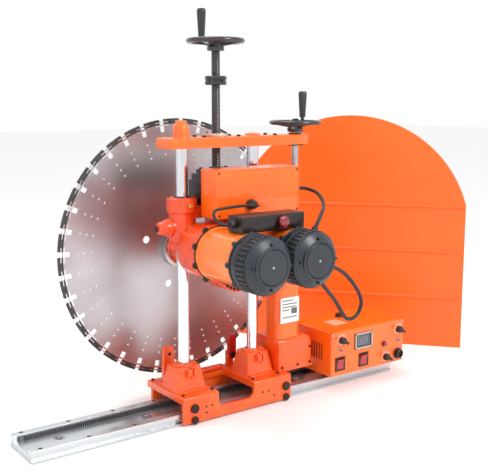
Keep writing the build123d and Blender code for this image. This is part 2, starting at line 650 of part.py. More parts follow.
for place, x, line in (("left", motor_xs[0], 180 - bull_turn), ("right", motor_xs[1], bull_turn)):
    with BuildPart() as rotor:
        bar_y(x, -262, CASE_DEEP + 3, MOTOR_Z, MOTOR_SHAFT)
        bar_y(x, -277, -262, MOTOR_Z, 5)
        bar_y(x, -198, -127, MOTOR_Z, 34)
        bar_y(x, -240, -230, MOTOR_Z, 44)
        turn = mesh_turn(BULL_TEETH, bull_turn, MOTOR_PINION_TEETH, line)
        with BuildSketch(Plane((x, CASE_DEEP - 14, MOTOR_Z), x_dir=(1, 0, 0), z_dir=(0, -1, 0))):
            with BuildLine():
                Polyline(*gear_profile(MOTOR_PINION_TEETH, DRIVE_MODULE, turn), close=True)
            make_face()
        extrude(amount=20)
    keep(rotor, f"motor_rotor_{place}")

with BuildPart() as head_bearings:
    for x in motor_xs:
        motor_bearings(x)
    for y0, y1 in ((CASE_DEEP, CASE_BACK), (QUILL_END - 16, QUILL_END - 2)):
        bar_y(SPINDLE_X, y0, y1, SPINDLE_Z, BEARING_RADIUS)
        bar_y(SPINDLE_X, y0, y1, SPINDLE_Z, SPINDLE_RADIUS + FIT, Mode.SUBTRACT)
    bar_z(SCREW_X, 0, THRUST_TOP - 16, THRUST_TOP, 16)
    bar_z(SCREW_X, 0, THRUST_TOP - 16, THRUST_TOP, SCREW_RADIUS + FIT, Mode.SUBTRACT)
keep(head_bearings, "head_bearings")

# ---- spindle, bull gear and blade -----------------------------------------------------
core_back = BLADE_Y - CORE_THICK / 2
core_front = BLADE_Y + CORE_THICK / 2
ARBOR_RADIUS = 12.7

with BuildPart() as spindle:
    bar_y(SPINDLE_X, CASE_FRONT + CASE_LID + 2, QUILL_END + 2, SPINDLE_Z, SPINDLE_RADIUS)
    bar_y(SPINDLE_X, QUILL_END + 1, core_back, SPINDLE_Z, FLANGE_RADIUS)
    bar_y(SPINDLE_X, core_back, BLADE_Y + 30, SPINDLE_Z, ARBOR_RADIUS)
keep(spindle, "spindle")

with BuildPart() as bull_gear:
    with BuildSketch(Plane((SPINDLE_X, CASE_DEEP - 14, SPINDLE_Z), x_dir=(1, 0, 0), z_dir=(0, -1, 0))):
        with BuildLine():
            Polyline(*gear_profile(BULL_TEETH, DRIVE_MODULE, bull_turn), close=True)
        make_face()
        Circle(SPINDLE_RADIUS + SEAT, mode=Mode.SUBTRACT)
    extrude(amount=20)
keep(bull_gear, "bull_gear")

tooth_pitch = 360 / BLADE_SEGMENTS
band_radius = BLADE_RADIUS - SEGMENT_HEIGHT
with BuildPart() as blade_core:
    with BuildSketch(facing(core_front)):
        with Locations((SPINDLE_X, SPINDLE_Z)):
            Circle(band_radius)
            Circle(ARBOR_RADIUS + SEAT, mode=Mode.SUBTRACT)
        first = 90 + BLADE_TURN
        with Locations((SPINDLE_X, SPINDLE_Z)):
            with PolarLocations((SLOT_FOOT + band_radius) / 2 + 6, BLADE_SEGMENTS, first + tooth_pitch / 2):
                Trapezoid(SLOT_WIDTH + 1, band_radius - SLOT_FOOT + 12, 92, rotation=-90,
                          mode=Mode.SUBTRACT)
            for radius in VENT_RADII:
                with PolarLocations(radius, BLADE_SEGMENTS, first + tooth_pitch / 2):
                    Circle(VENT_RADIUS, mode=Mode.SUBTRACT)
            with PolarLocations(87, 4, 162.6):
                Circle(8.5, mode=Mode.SUBTRACT)
    extrude(amount=CORE_THICK)
keep(blade_core, "blade_core")

with BuildPart() as blade_segments:
    with BuildSketch(facing(BLADE_Y + SEGMENT_THICK / 2)):
        with Locations((SPINDLE_X, SPINDLE_Z)):
            Circle(BLADE_RADIUS)
            Circle(band_radius, mode=Mode.SUBTRACT)
            spread = SEGMENT_LENGTH / BLADE_RADIUS
            gap_width = 2 * pi * BLADE_RADIUS / BLADE_SEGMENTS - SEGMENT_LENGTH
            with PolarLocations(BLADE_RADIUS - SEGMENT_HEIGHT / 2, BLADE_SEGMENTS, first + tooth_pitch / 2):
                Rectangle(SEGMENT_HEIGHT + 4, gap_width, mode=Mode.SUBTRACT)
    extrude(amount=SEGMENT_THICK)
keep(blade_segments, "blade_segments")

with BuildPart() as blade_flange:
    bar_y(SPINDLE_X, core_front, core_front + 10, SPINDLE_Z, FLANGE_RADIUS)
    chamfer(blade_flange.edges().group_by(Axis.Y)[-1], 3)
    with BuildSketch(facing(core_front + 26)):
        with Locations((SPINDLE_X, SPINDLE_Z)):
            RegularPolygon(21, 6)
    extrude(amount=16)
    bar_y(SPINDLE_X, core_front, core_front + 26, SPINDLE_Z, ARBOR_RADIUS + SEAT, Mode.SUBTRACT)
keep(blade_flange, "blade_clamp")

# ---- lift screw, its thrust block and the two handwheels ----------------------------
with BuildPart() as thrust_block:
    block((-52, 30), (-27, 27), (BRIDGE_TOP, THRUST_TOP))
    block((-64, -52), (-27, 27), (BRIDGE_TOP, 527))
    block((-71, -64), (-27, 27), (BRIDGE_TOP, 514))
    bar_z(SCREW_X, 0, SCREW_FOOT - 2, THRUST_TOP, SCREW_RADIUS + 0.5, Mode.SUBTRACT)
    bar_z(SCREW_X, 0, THRUST_TOP - 16, THRUST_TOP, 16 + SEAT, Mode.SUBTRACT)
keep(thrust_block, "thrust_block")

with BuildPart() as lift_screw:
    bar_z(SCREW_X, 0, SCREW_FOOT, LIFT_WHEEL_Z - 10, SCREW_RADIUS)
    bar_z(SCREW_X, 0, THRUST_TOP + GAP, THRUST_TOP + GAP + 5, 15)
    bar_z(SCREW_X, 0, COLLAR_LOW, COLLAR_LOW + 19, 23.5)
keep(lift_screw, "lift_screw")

GRIP_PIN = 4.0


def handwheel(x, y, rim_z, radius, rim, shaft_r, hub_r, spoke_start):
    """Dished three-spoke wheel; its hub sits 11 below the rim's middle."""
    hub_z = rim_z - 20
    with Locations((x, y, rim_z)):
        Torus(radius - rim, rim)
    bar_z(x, y, hub_z, hub_z + 24, hub_r)
    wheel_spokes(x, y, hub_z + 8, rim_z, hub_r - 3, radius - rim, spoke_start)
    bar_z(x, y, hub_z - 1, rim_z - 6, shaft_r + SEAT, Mode.SUBTRACT)


def grip_place(x, y, radius, rim, turn):
    reach = radius - rim
    return x + reach * cos(radians(turn)), y + reach * sin(radians(turn))


def grip(x, y, rim_z, rim):
    """Tapered turned grip on a pin that stands on the rim."""
    foot = rim_z + rim + 6
    with BuildSketch(Plane((x, y, 0), x_dir=(1, 0, 0), z_dir=(0, -1, 0))) as turned:
        with BuildLine():
            Polyline((GRIP_PIN + FIT, foot), (7, foot), (10, foot + 55), (8, foot + 60), (0, foot + 60),
                     (0, foot + 56), (GRIP_PIN + FIT, foot + 56), close=True)
        make_face()
        fillet([v for v in vertices() if abs(v.X - 10) < 0.6 or abs(v.X - 8) < 0.6], 2)
    revolve(turned.sketch, axis=Axis((x, y, 0), (0, 0, 1)))


LIFT_RIM = 5.5
FEED_RIM = 5.0
LIFT_GRIP_TURN = 88.0
FEED_GRIP_TURN = 33.0
for name, x, rim_z, radius, rim, shaft_r, hub_r, turn in (
    ("lift", SCREW_X, LIFT_WHEEL_Z, LIFT_WHEEL_RADIUS, LIFT_RIM, SCREW_RADIUS, 15, LIFT_GRIP_TURN),
    ("feed", FEED_X, FEED_WHEEL_Z, FEED_WHEEL_RADIUS, FEED_RIM, FEED_RADIUS, 14, FEED_GRIP_TURN),
):
    gx, gy = grip_place(x, 0, radius, rim, turn)
    with BuildPart() as wheel:
        handwheel(x, 0, rim_z, radius, rim, shaft_r, hub_r, turn)
        bar_z(gx, gy, rim_z, rim_z + rim + 58, GRIP_PIN)
    keep(wheel, f"{name}_handwheel")
    with BuildPart() as knob:
        grip(gx, gy, rim_z, rim)
    keep(knob, f"{name}_grip")

# ---- electrics on the head ------------------------------------------------------------
with BuildPart() as cover_box:
    block(*COVER)
    fillet(cover_box.edges().filter_by(Axis.Z), 2)
    block((COVER[0][0] + SHEET, COVER[0][1] - SHEET), (COVER[1][0] + SHEET, COVER[1][1] + 1),
          (COVER[2][0] + SHEET, COVER[2][1] - SHEET), Mode.SUBTRACT)
    bar_y(GLAND_X, COVER[1][0], COVER[1][0] + SHEET, GLAND_Z, 8 + SEAT, Mode.SUBTRACT)
    block((COVER[0][0] + SHEET + 0.1, COVER[0][1] - SHEET - 0.1), (COVER[1][1] - 2, COVER[1][1]),
          (COVER[2][0] + SHEET + 0.1, COVER[2][1] - SHEET - 0.1))
keep(cover_box, "cover_box")

with BuildPart() as starter_board:
    board_y = COVER[1][1] - 8
    block((-60, 110), (board_y, board_y + 2), (450, 530))
    for x0, x1, z0, z1, tall in ((-50, -20, 460, 500, 28), (-5, 45, 455, 490, 18), (60, 100, 465, 520, 24)):
        block((x0, x1), (board_y - tall, board_y), (z0, z1))
    for x in (-50, 100):
        for z in (455, 525):
            bar_y(x, board_y + 2, COVER[1][1] - 2, z, 3)
keep(starter_board, "starter_board")

with BuildPart() as cable_glands:
    bar_y(GLAND_X, COVER[1][0] - 5, COVER[1][0], GLAND_Z, 11)
    bar_y(GLAND_X, COVER[1][0] - 15, COVER[1][0] - 5, GLAND_Z, 9)
    bar_y(GLAND_X, COVER[1][0], COVER[1][0] + SHEET, GLAND_Z, 8)
    bar_x(SWITCH_BOX[0][0] - 14, SWITCH_BOX[0][0], -180, 443, 9)
    bar_x(COVER[0][1], COVER[0][1] + 8, -60, 488, 7)
    for y, turn in MOTOR_GLANDS:
        outward = (cos(radians(turn)), 0, sin(radians(turn)))
        foot = Vector(motor_xs[1], y, MOTOR_Z) + Vector(*outward) * (MOTOR_CAP_RADIUS + SEAT)
        with BuildSketch(Plane(foot, z_dir=outward)) as gland:
            Circle(6.5)
        extrude(gland.sketch, amount=11)
keep(cable_glands, "cable_glands")

with BuildPart() as switch_box:
    block(*SWITCH_BOX)
    fillet(switch_box.edges().filter_by(Axis.Z), 3)
    block((SWITCH_BOX[0][0] + 3, SWITCH_BOX[0][1] - 3), (SWITCH_BOX[1][0] + 3, SWITCH_BOX[1][1] - 3),
          (SWITCH_BOX[2][0] + 3, SWITCH_BOX[2][1] - 3), Mode.SUBTRACT)
    bar_y(ESTOP_X, SWITCH_BOX[1][0] - 2.5, SWITCH_BOX[1][0] + 0.5, ESTOP_Z, 14)
    bar_y(ESTOP_X, SWITCH_BOX[1][0] - 3, SWITCH_BOX[1][0] + 5, ESTOP_Z, 5 + FIT, Mode.SUBTRACT)
keep(switch_box, "switch_box")

ESTOP_TRAVEL = 4.0
with BuildPart() as estop_button:
    front = SWITCH_BOX[1][0] - 2.5 - ESTOP_TRAVEL - 0.5
    bar_y(ESTOP_X, front - 8, front, ESTOP_Z, 12)
    fillet(estop_button.edges().group_by(Axis.Y)[0], 4)
    bar_y(ESTOP_X, front, SWITCH_BOX[1][0] + 16, ESTOP_Z, 5)
keep(estop_button, "estop_button")


def cord(points, radius):
    """Round cable along straight runs joined by arcs as large as the runs allow."""
    radii = []
    for before, here, after in zip(points, points[1:], points[2:]):
        a = Vector(*here) - Vector(*before)
        b = Vector(*after) - Vector(*here)
        turn = radians(a.get_angle(b))
        radii.append(round(0.45 * min(a.length, b.length) / tan(turn / 2), 2))
    with BuildLine():
        route = FilletPolyline(*points, radius=radii)
    heading = Vector(*points[1]) - Vector(*points[0])
    with BuildSketch(Plane(points[0], z_dir=heading)) as section:
        Circle(radius)
    sweep(section.sketch, path=route)


def gland_mouth(number, beyond=0.0):
    """Point on a motor gland's axis, at its mouth or this far beyond it."""
    y, turn = MOTOR_GLANDS[number]
    reach = MOTOR_CAP_RADIUS + SEAT + 11 + beyond
    return (motor_xs[1] + reach * cos(radians(turn)), y, MOTOR_Z + reach * sin(radians(turn)))


motor_cable_points = [
    (COVER[0][1] + 8, -60, 488), (160, -60, 488), (175, -68, 487.5), (184, -84, 484), (184, -103, 479),
    (176, -124, 472), (163, -146, 466), (146, -168, 461), (127, -189, 458), (108, -208, 457),
    (92, -222, 453), gland_mouth(0, 16), gland_mouth(0),
]
switch_cable_points = [
    (GLAND_X, COVER[1][0] - 15, GLAND_Z), (5, -119.5, 466), (1.4, -128.3, 466.7), (-5.4, -135, 468),
    (-14.2, -138.7, 469), (-26, -140, 470.2), (-43, -141.5, 471.5), (-62, -144, 472),
    (-82, -147, 471.6), (-101, -149, 470.8), (-118.4, -150.1, 469.9), (-127.6, -154.1, 466.3),
    (-133, -161, 460.1), (-133, -169, 452.9), (-127.6, -175.9, 446.7), (-118.4, -180, 443),
    (SWITCH_BOX[0][0] - 14, -180, 443),
]
loop_cable_points = [
    gland_mouth(1), gland_mouth(1, 17), (136, -229, 333), (157, -225, 321), (177, -221, 305),
    (194, -218, 288), (208, -215, 272), (216.8, -213, 259.5), (221, -212, 244), (216.8, -211, 228.5),
    (205.5, -211, 217.2), (190, -212, 213), (174.5, -214, 217.2), (163.2, -216, 228.5),
    (149, -219, 246), (134, -223, 264), (116, -228, 281), gland_mouth(2, 20), gland_mouth(2),
]
for name, points, radius in (
    ("motor_cable", motor_cable_points, 4.0),
    ("switch_cable", switch_cable_points, 3.0),
    ("loop_cable", loop_cable_points, 4.2),
):
    with BuildPart() as cable:
        cord(points, radius)
    keep(cable, name)

# ---- control box ----------------------------------------------------------------------
(bx0, bx1), (by0, by1), (bz0, bz1) = BOX
KNOB_SPOTS = ((277.0, 122.0), (425.0, 55.0), (467.0, 119.0))
ROCKER_SPOTS = ((273.0, 65.0), (349.0, 63.0))
DISPLAY = (347.0, 111.0, 56.0, 38.0)
LAMP_SPOTS = ((274.0, 98.0), (466.0, 92.0))
FUSE_SPOT = (417.0, 90.0)
INLET_SPOT = (466.0, 57.0)

with BuildPart() as control_box_shell:
    block((bx0, bx1), (by0, by1), (bz0 + SHEET, bz1))
    fillet(control_box_shell.edges().filter_by(Axis.Z), 4)
    fillet(control_box_shell.edges().group_by(Axis.Z)[-1], 3)
    block((bx0 + SHEET, bx1 - SHEET), (by0 + SHEET, by1 - SHEET), (bz0, bz1 - SHEET), Mode.SUBTRACT)
    for x, z in KNOB_SPOTS:
        bar_y(x, by0, by0 + SHEET, z, 3 + FIT, Mode.SUBTRACT)
    for x, z in ROCKER_SPOTS:
        block((x - 13, x + 13), (by0, by0 + SHEET), (z - 15, z + 15), Mode.SUBTRACT)
    x, z, wide, tall = DISPLAY
    block((x - wide / 2 + 3, x + wide / 2 - 3), (by0, by0 + SHEET), (z - tall / 2 + 3, z + tall / 2 - 3),
          Mode.SUBTRACT)
keep(control_box_shell, "control_box_shell")

with BuildPart() as control_box_base:
    block((bx0, bx1), (by0, by1), (bz0, bz0 + SHEET))
keep(control_box_base, "control_box_base")

with BuildPart() as control_box_feet:
    for x in (bx0 + 22, bx1 - 22):
        for side in (-1, 1):
            bar_z(x, side * (half_rail - 10.5), RAIL_HEIGHT, bz0, 8)
keep(control_box_feet, "control_box_feet")

with BuildPart() as display:
    x, z, wide, tall = DISPLAY
    block((x - wide / 2, x + wide / 2), (by0 - 3, by0), (z - tall / 2, z + tall / 2))
    block((x - wide / 2 + 4, x + wide / 2 - 4), (by0 - 3, by0), (z - tall / 2 + 4, z + tall / 2 - 4),
          Mode.SUBTRACT)
    block((x - wide / 2 + 4.1, x + wide / 2 - 4.1), (by0 - 1.5, by0), (z - tall / 2 + 4.1, z + tall / 2 - 4.1))
keep(display, "display")

with BuildPart() as panel_fittings:
    for x, z in ROCKER_SPOTS:
        block((x - 15.5, x + 15.5), (by0 - 2, by0), (z - 17, z + 17))
        block((x - 12.9, x + 12.9), (by0, by0 + 14), (z - 14.9, z + 14.9))
        block((x - 10.5, x + 10.5), (by0 - 2, by0 + 11), (z - 13.5, z + 13.5), Mode.SUBTRACT)
    for x, z in LAMP_SPOTS:
        bar_y(x, by0 - 3, by0, z, 4)
    bar_y(FUSE_SPOT[0], by0 - 6, by0, FUSE_SPOT[1], 6)
    bar_y(INLET_SPOT[0], by0 - 10, by0, INLET_SPOT[1], 11)
    bar_y(INLET_SPOT[0], by0 - 10, by0 - 3, INLET_SPOT[1], 8, Mode.SUBTRACT)
    bar_z(367, 20, bz1, bz1 + 8, 9)
    bar_z(367, 20, bz1 + 2, bz1 + 8, 6, Mode.SUBTRACT)
keep(panel_fittings, "panel_fittings")

ROCKER_TILT = 7.0
for place, (x, z) in zip(("left", "right"), ROCKER_SPOTS):
    with BuildPart() as rocker:
        tilted = Plane((x - 10, by0 + 3, z), x_dir=(0, cos(radians(ROCKER_TILT)), sin(radians(ROCKER_TILT))),
                       z_dir=(1, 0, 0))
        with BuildSketch(tilted):
            with BuildLine():
                Polyline((-6.5, -12), (-4.5, 0), (-6.5, 12), (4, 11), (5, 0), (4, -11), close=True)
            make_face()
        extrude(amount=20)
        bar_x(x - 10.4, x + 10.4, by0 + 3, z, 2)
    keep(rocker, f"rocker_{place}")

for number, (x, z) in enumerate(KNOB_SPOTS, 1):
    with BuildPart() as knob:
        bar_y(x, by0 - 9, by0 - GAP, z, 8.5)
        lean = Plane((x, by0 - 9, z), x_dir=(cos(radians(-35)), 0, sin(radians(-35))), z_dir=(0, -1, 0))
        with BuildSketch(lean) as wing:
            SlotOverall(26, 7)
        extrude(wing.sketch, amount=7)
        bar_y(x, by0 - GAP, by0 + 12, z, 3)
    keep(knob, f"panel_knob_{number}")

with BuildPart() as control_board:
    block((270, 460), (-40, 40), (50, 52))
    for x in (280, 450):
        for y in (-30, 30):
            bar_z(x, y, bz0 + SHEET, 50, 3)
    block((290, 330), (-20, 20), (52, 88))
    for x in (360, 385, 410):
        bar_z(x, 10, 52, 80, 9)
keep(control_board, "control_board")

# ---- loose blade guard, standing on the floor --------------------------------------------
guard_dir = (cos(radians(GUARD_TURN)), sin(radians(GUARD_TURN)), 0)
guard_out = (sin(radians(GUARD_TURN)), -cos(radians(GUARD_TURN)), 0)
guard_plane = Plane((*GUARD_FOOT, 0), x_dir=guard_dir, z_dir=guard_out)
crown_s = GUARD_START + GUARD_WIDTH / 2


def guard_outline(inset):
    """Straight sides under one round crown; the foot stays on the floor."""
    radius = GUARD_CROWN_RADIUS - inset
    half = GUARD_WIDTH / 2 - inset
    shoulder = GUARD_CROWN_Z + sqrt(radius ** 2 - half ** 2)
    with BuildLine() as edge:
        Polyline((crown_s - half, shoulder), (crown_s - half, 0), (crown_s + half, 0),
                 (crown_s + half, shoulder))
        ThreePointArc((crown_s + half, shoulder), (crown_s, GUARD_CROWN_Z + radius),
                      (crown_s - half, shoulder))
    make_face(edge.edges())


with BuildPart() as blade_guard:
    with BuildSketch(guard_plane) as outside:
        guard_outline(0)
    extrude(outside.sketch, amount=GUARD_SHEET + GUARD_LIP)
    with BuildSketch(guard_plane.offset(GUARD_SHEET)) as inside:
        guard_outline(GUARD_SHEET)
    extrude(inside.sketch, amount=GUARD_LIP, mode=Mode.SUBTRACT)
    for z in GUARD_BEADS:
        along = Plane((*GUARD_FOOT, z), x_dir=(0, 0, 1), z_dir=guard_dir).offset(GUARD_START + 6)
        with BuildSketch(along) as bead:
            Circle(4)
        extrude(bead.sketch, amount=GUARD_WIDTH - 12)
keep(blade_guard, "blade_guard")
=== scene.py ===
import json
from math import cos, pi, radians, sin

import bmesh
import bpy
from mathutils import Matrix, Vector


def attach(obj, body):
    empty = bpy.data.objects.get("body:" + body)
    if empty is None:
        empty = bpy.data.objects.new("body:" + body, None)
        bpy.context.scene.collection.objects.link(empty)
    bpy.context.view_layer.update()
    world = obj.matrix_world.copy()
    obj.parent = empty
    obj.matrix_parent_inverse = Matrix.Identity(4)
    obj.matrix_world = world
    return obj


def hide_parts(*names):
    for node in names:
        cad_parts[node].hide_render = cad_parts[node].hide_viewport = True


# Track-mounted wall saw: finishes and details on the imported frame. Sizes are in millimetres
# in the frame's axes, and MM brings them to metres.

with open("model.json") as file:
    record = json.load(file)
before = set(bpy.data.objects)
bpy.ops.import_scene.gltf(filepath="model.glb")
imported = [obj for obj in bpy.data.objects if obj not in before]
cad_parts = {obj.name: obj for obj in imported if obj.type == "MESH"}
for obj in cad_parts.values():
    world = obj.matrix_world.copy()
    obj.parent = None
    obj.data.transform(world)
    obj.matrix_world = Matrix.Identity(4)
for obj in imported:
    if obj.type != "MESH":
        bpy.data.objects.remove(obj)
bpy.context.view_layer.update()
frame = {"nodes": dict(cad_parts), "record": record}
nodes = frame["nodes"]
bodies_of = {n: b for b, ns in frame["record"]["behaviour"]["bodies"].items() for n in ns}
MM = 0.001
scene = bpy.context.scene


# ---- shader building ------------------------------------------------------------------------
class Wires:
    """Adds nodes to a tree; an input is given as a socket to link or a value to set."""

    def __init__(self, tree):
        self.tree = tree

    def add(self, kind, inputs=None, **settings):
        node = self.tree.nodes.new(kind)
        for key, value in settings.items():
            setattr(node, key, value)
        for key, value in (inputs or {}).items():
            if isinstance(value, bpy.types.NodeSocket):
                self.tree.links.new(value, node.inputs[key])
            else:
                node.inputs[key].default_value = value
        return node

    def shade(self, kind, inputs=None, **settings):
        return self.add("ShaderNode" + kind, inputs, **settings)

    def mix(self, factor, a, b):
        node = self.shade("Mix", {0: factor}, data_type="RGBA")
        for socket, value in ((node.inputs[6], a), (node.inputs[7], b)):
            if isinstance(value, bpy.types.NodeSocket):
                self.tree.links.new(value, socket)
            else:
                socket.default_value = (*value[:3], 1)
        return node.outputs[2]

    def span(self, value, low, high, start=0.0, end=1.0):
        """Low to high as the value goes from start to end."""
        inputs = {0: value, 1: start, 2: end, 3: low, 4: high}
        return self.shade("MapRange", inputs).outputs[0]

    def link(self, source, target):
        self.tree.links.new(source, target)


def new_sockets(tree, inputs, outputs):
    for label, kind, value in inputs:
        socket = tree.interface.new_socket(label, in_out="INPUT", socket_type=kind)
        if value is not None:
            socket.default_value = value
    for label, kind in outputs:
        tree.interface.new_socket(label, in_out="OUTPUT", socket_type=kind)


def effect_group(name, inputs, outputs):
    tree = bpy.data.node_groups.new(name, "ShaderNodeTree")
    new_sockets(tree, inputs, outputs)
    wires = Wires(tree)
    given = wires.add("NodeGroupInput").outputs
    return tree, wires, given, wires.add("NodeGroupOutput").inputs


EDGE_SAMPLES = 6
EDGE_AGREEMENT = (0.80, 0.985)   # how far the rounded and true normals agree: an edge, a flat
RUB_SPAN = (0.35, 0.6)
CLOUD_SPAN = (0.3, 0.7)
GRAIN_SPAN = (0.25, 0.75)

# Rounded edges: the normal is softened at an edge, and the mask says where one is. A finish paints
# its edges lighter there, in patches: partly rubbed wear, partly a painted highlight.
edge_highlight_group, w, given, out = effect_group(
    "painted edge highlight and wear",
    [("Radius", "NodeSocketFloat", 0.0012), ("Break up", "NodeSocketFloat", 90.0)],
    [("Mask", "NodeSocketFloat"), ("Normal", "NodeSocketVector")],
)
rounded = w.shade("Bevel", {"Radius": given["Radius"]}, samples=EDGE_SAMPLES)
true_normal = w.shade("NewGeometry").outputs["Normal"]
agree = w.shade("VectorMath", {0: rounded.outputs[0], 1: true_normal}, operation="DOT_PRODUCT")
patches = w.shade("TexNoise", {"Vector": w.shade("TexCoord").outputs["Object"],
                               "Scale": given["Break up"], "Detail": 3.0})
edge = w.span(agree.outputs["Value"], 1.0, 0.0, *EDGE_AGREEMENT)
kept = w.span(patches.outputs[0], 0.15, 1.0, *RUB_SPAN)
w.link(w.shade("Math", {0: edge, 1: kept}, operation="MULTIPLY").outputs[0], out["Mask"])
w.link(rounded.outputs[0], out["Normal"])

# Fine surface grain and slow unevenness, both on object coordinates.
grain_group, w, given, out = effect_group(
    "surface grain",
    [("Stretch", "NodeSocketVector", (1, 1, 1)), ("Scale", "NodeSocketFloat", 400.0),
     ("Slow scale", "NodeSocketFloat", 12.0)],
    [("Grain", "NodeSocketFloat"), ("Slow", "NodeSocketFloat")],
)
place = w.shade("TexCoord").outputs["Object"]
stretched = w.shade("VectorMath", {0: place, 1: given["Stretch"]}, operation="MULTIPLY")
fine = w.shade("TexNoise", {"Vector": stretched.outputs[0], "Scale": given["Scale"],
                            "Detail": 4.0})
slow = w.shade("TexNoise", {"Vector": place, "Scale": given["Slow scale"], "Detail": 3.0})
w.link(fine.outputs[0], out["Grain"])
w.link(slow.outputs[0], out["Slow"])

SECOND_TONE = 0.82               # the darker cloud, where a finish names none
BUMP_STRENGTH = 0.6
LEAST_ROUGHNESS = 0.02
SMOOTHER_BY, ROUGHER_BY = 0.06, 0.08


def surface(name, colour, roughness, second=None, edge_highlight_colour=None, edge_radius=1.2,
            stretch=(1, 1, 1), grain=400.0, depth=0.02, slow=12.0, grain_tint=0.0, **fixed):
    """Principled material whose colour, roughness and bump come from grain and rounded edges; the
    edges are painted lighter, partly rubbed wear, partly a painted highlight.
    """
    material = bpy.data.materials.new(name)
    material.use_nodes = True
    wires = Wires(material.node_tree)
    shader = material.node_tree.nodes["Principled BSDF"]
    grains = wires.shade("Group", node_tree=grain_group)
    grains.inputs["Stretch"].default_value = stretch
    grains.inputs["Scale"].default_value = grain
    grains.inputs["Slow scale"].default_value = slow
    clouds, specks = grains.outputs["Slow"], grains.outputs["Grain"]
    second = second or tuple(c * SECOND_TONE for c in colour)
    tone = wires.mix(wires.span(clouds, 0, 1, *CLOUD_SPAN), second, colour)
    if grain_tint:
        dark = tuple(c * (1 - grain_tint) for c in colour)
        tone = wires.mix(wires.span(specks, 1, 0, *GRAIN_SPAN), tone, dark)
    bump = {"Strength": BUMP_STRENGTH, "Distance": depth * MM, "Height": specks}
    # Edges lighter in patches: a painted highlight along the edges, partly rubbed wear.
    if edge_highlight_colour:
        edges = wires.shade("Group", node_tree=edge_highlight_group)
        edges.inputs["Radius"].default_value = edge_radius * MM
        tone = wires.mix(edges.outputs["Mask"], tone, edge_highlight_colour)
        bump["Normal"] = edges.outputs["Normal"]
    wires.link(tone, shader.inputs["Base Color"])
    smoothest = max(LEAST_ROUGHNESS, roughness - SMOOTHER_BY)
    rough = wires.span(clouds, smoothest, roughness + ROUGHER_BY, *CLOUD_SPAN)
    wires.link(rough, shader.inputs["Roughness"])
    wires.link(wires.shade("Bump", bump).outputs[0], shader.inputs["Normal"])
    for socket, value in fixed.items():
        shader.inputs[socket.replace("_", " ")].default_value = value
    return material


# ---- finishes: colour, roughness, second tone, painted edge highlight colour and its width ---
sheet_paint = surface(
    "orange sheet paint", (0.96, 0.145, 0.005), 0.28, (0.93, 0.12, 0.004), (1.0, 0.34, 0.08), 1.4,
    grain=700, depth=0.02, Coat_Weight=0.35, Coat_Roughness=0.12)
guard_paint = surface(
    "orange guard paint", (0.98, 0.125, 0.002), 0.34, (0.95, 0.11, 0.002), (1.0, 0.30, 0.07), 1.0,
    grain=500, depth=0.015, slow=5, Coat_Weight=0.15, Coat_Roughness=0.2)
cast_paint = surface(
    "orange cast paint", (0.93, 0.118, 0.006), 0.32, (0.88, 0.075, 0.004), (1.0, 0.30, 0.08), 1.8,
    grain=160, depth=0.22, slow=22, Coat_Weight=0.4, Coat_Roughness=0.15)
rough_paint = surface(
    "red orange cast paint", (0.86, 0.085, 0.006), 0.3, (0.72, 0.035, 0.004), (1.0, 0.25, 0.07),
    2.2, grain=95, depth=0.6, slow=30, Coat_Weight=0.4, Coat_Roughness=0.12)
housing_paint = surface(
    "motor housing paint", (1.0, 0.215, 0.012), 0.22, (0.97, 0.17, 0.008), (1.0, 0.40, 0.12), 1.2,
    grain=500, depth=0.03, Coat_Weight=0.5, Coat_Roughness=0.08)
rail_metal = surface(
    "machined aluminium", (0.66, 0.69, 0.71), 0.24, (0.58, 0.61, 0.63), (0.85, 0.87, 0.88), 0.5,
    stretch=(1, 60, 60), grain=30, depth=0.05, slow=6, grain_tint=0.12, Metallic=0.85)
steel = surface(
    "bright steel", (0.56, 0.56, 0.57), 0.26, (0.47, 0.47, 0.48), (0.8, 0.8, 0.8), 0.5,
    stretch=(60, 60, 4), grain=40, depth=0.03, slow=30, grain_tint=0.15, Metallic=1.0)
chrome = surface(
    "hard chrome", (0.80, 0.80, 0.83), 0.10, (0.74, 0.74, 0.78),
    stretch=(90, 90, 3), grain=40, depth=0.008, slow=20, Metallic=1.0)
dark_rack = surface(
    "dark rack steel", (0.16, 0.16, 0.17), 0.35, (0.10, 0.10, 0.11), (0.5, 0.5, 0.5), 0.3,
    grain=300, depth=0.04, Metallic=0.8)
black_iron = surface(
    "black enamel", (0.022, 0.023, 0.026), 0.26, (0.012, 0.012, 0.014), (0.09, 0.09, 0.095), 0.9,
    grain=220, depth=0.1, Coat_Weight=0.4, Coat_Roughness=0.15)
screw_black = surface(
    "blacked screw steel", (0.035, 0.035, 0.038), 0.30, (0.02, 0.02, 0.022), (0.16, 0.16, 0.16),
    0.4, grain=300, depth=0.05, Metallic=0.5)
cap_plastic = surface(
    "blue black motor plastic", (0.020, 0.026, 0.036), 0.30, (0.012, 0.015, 0.021),
    (0.10, 0.12, 0.14), 1.0, grain=900, depth=0.05)
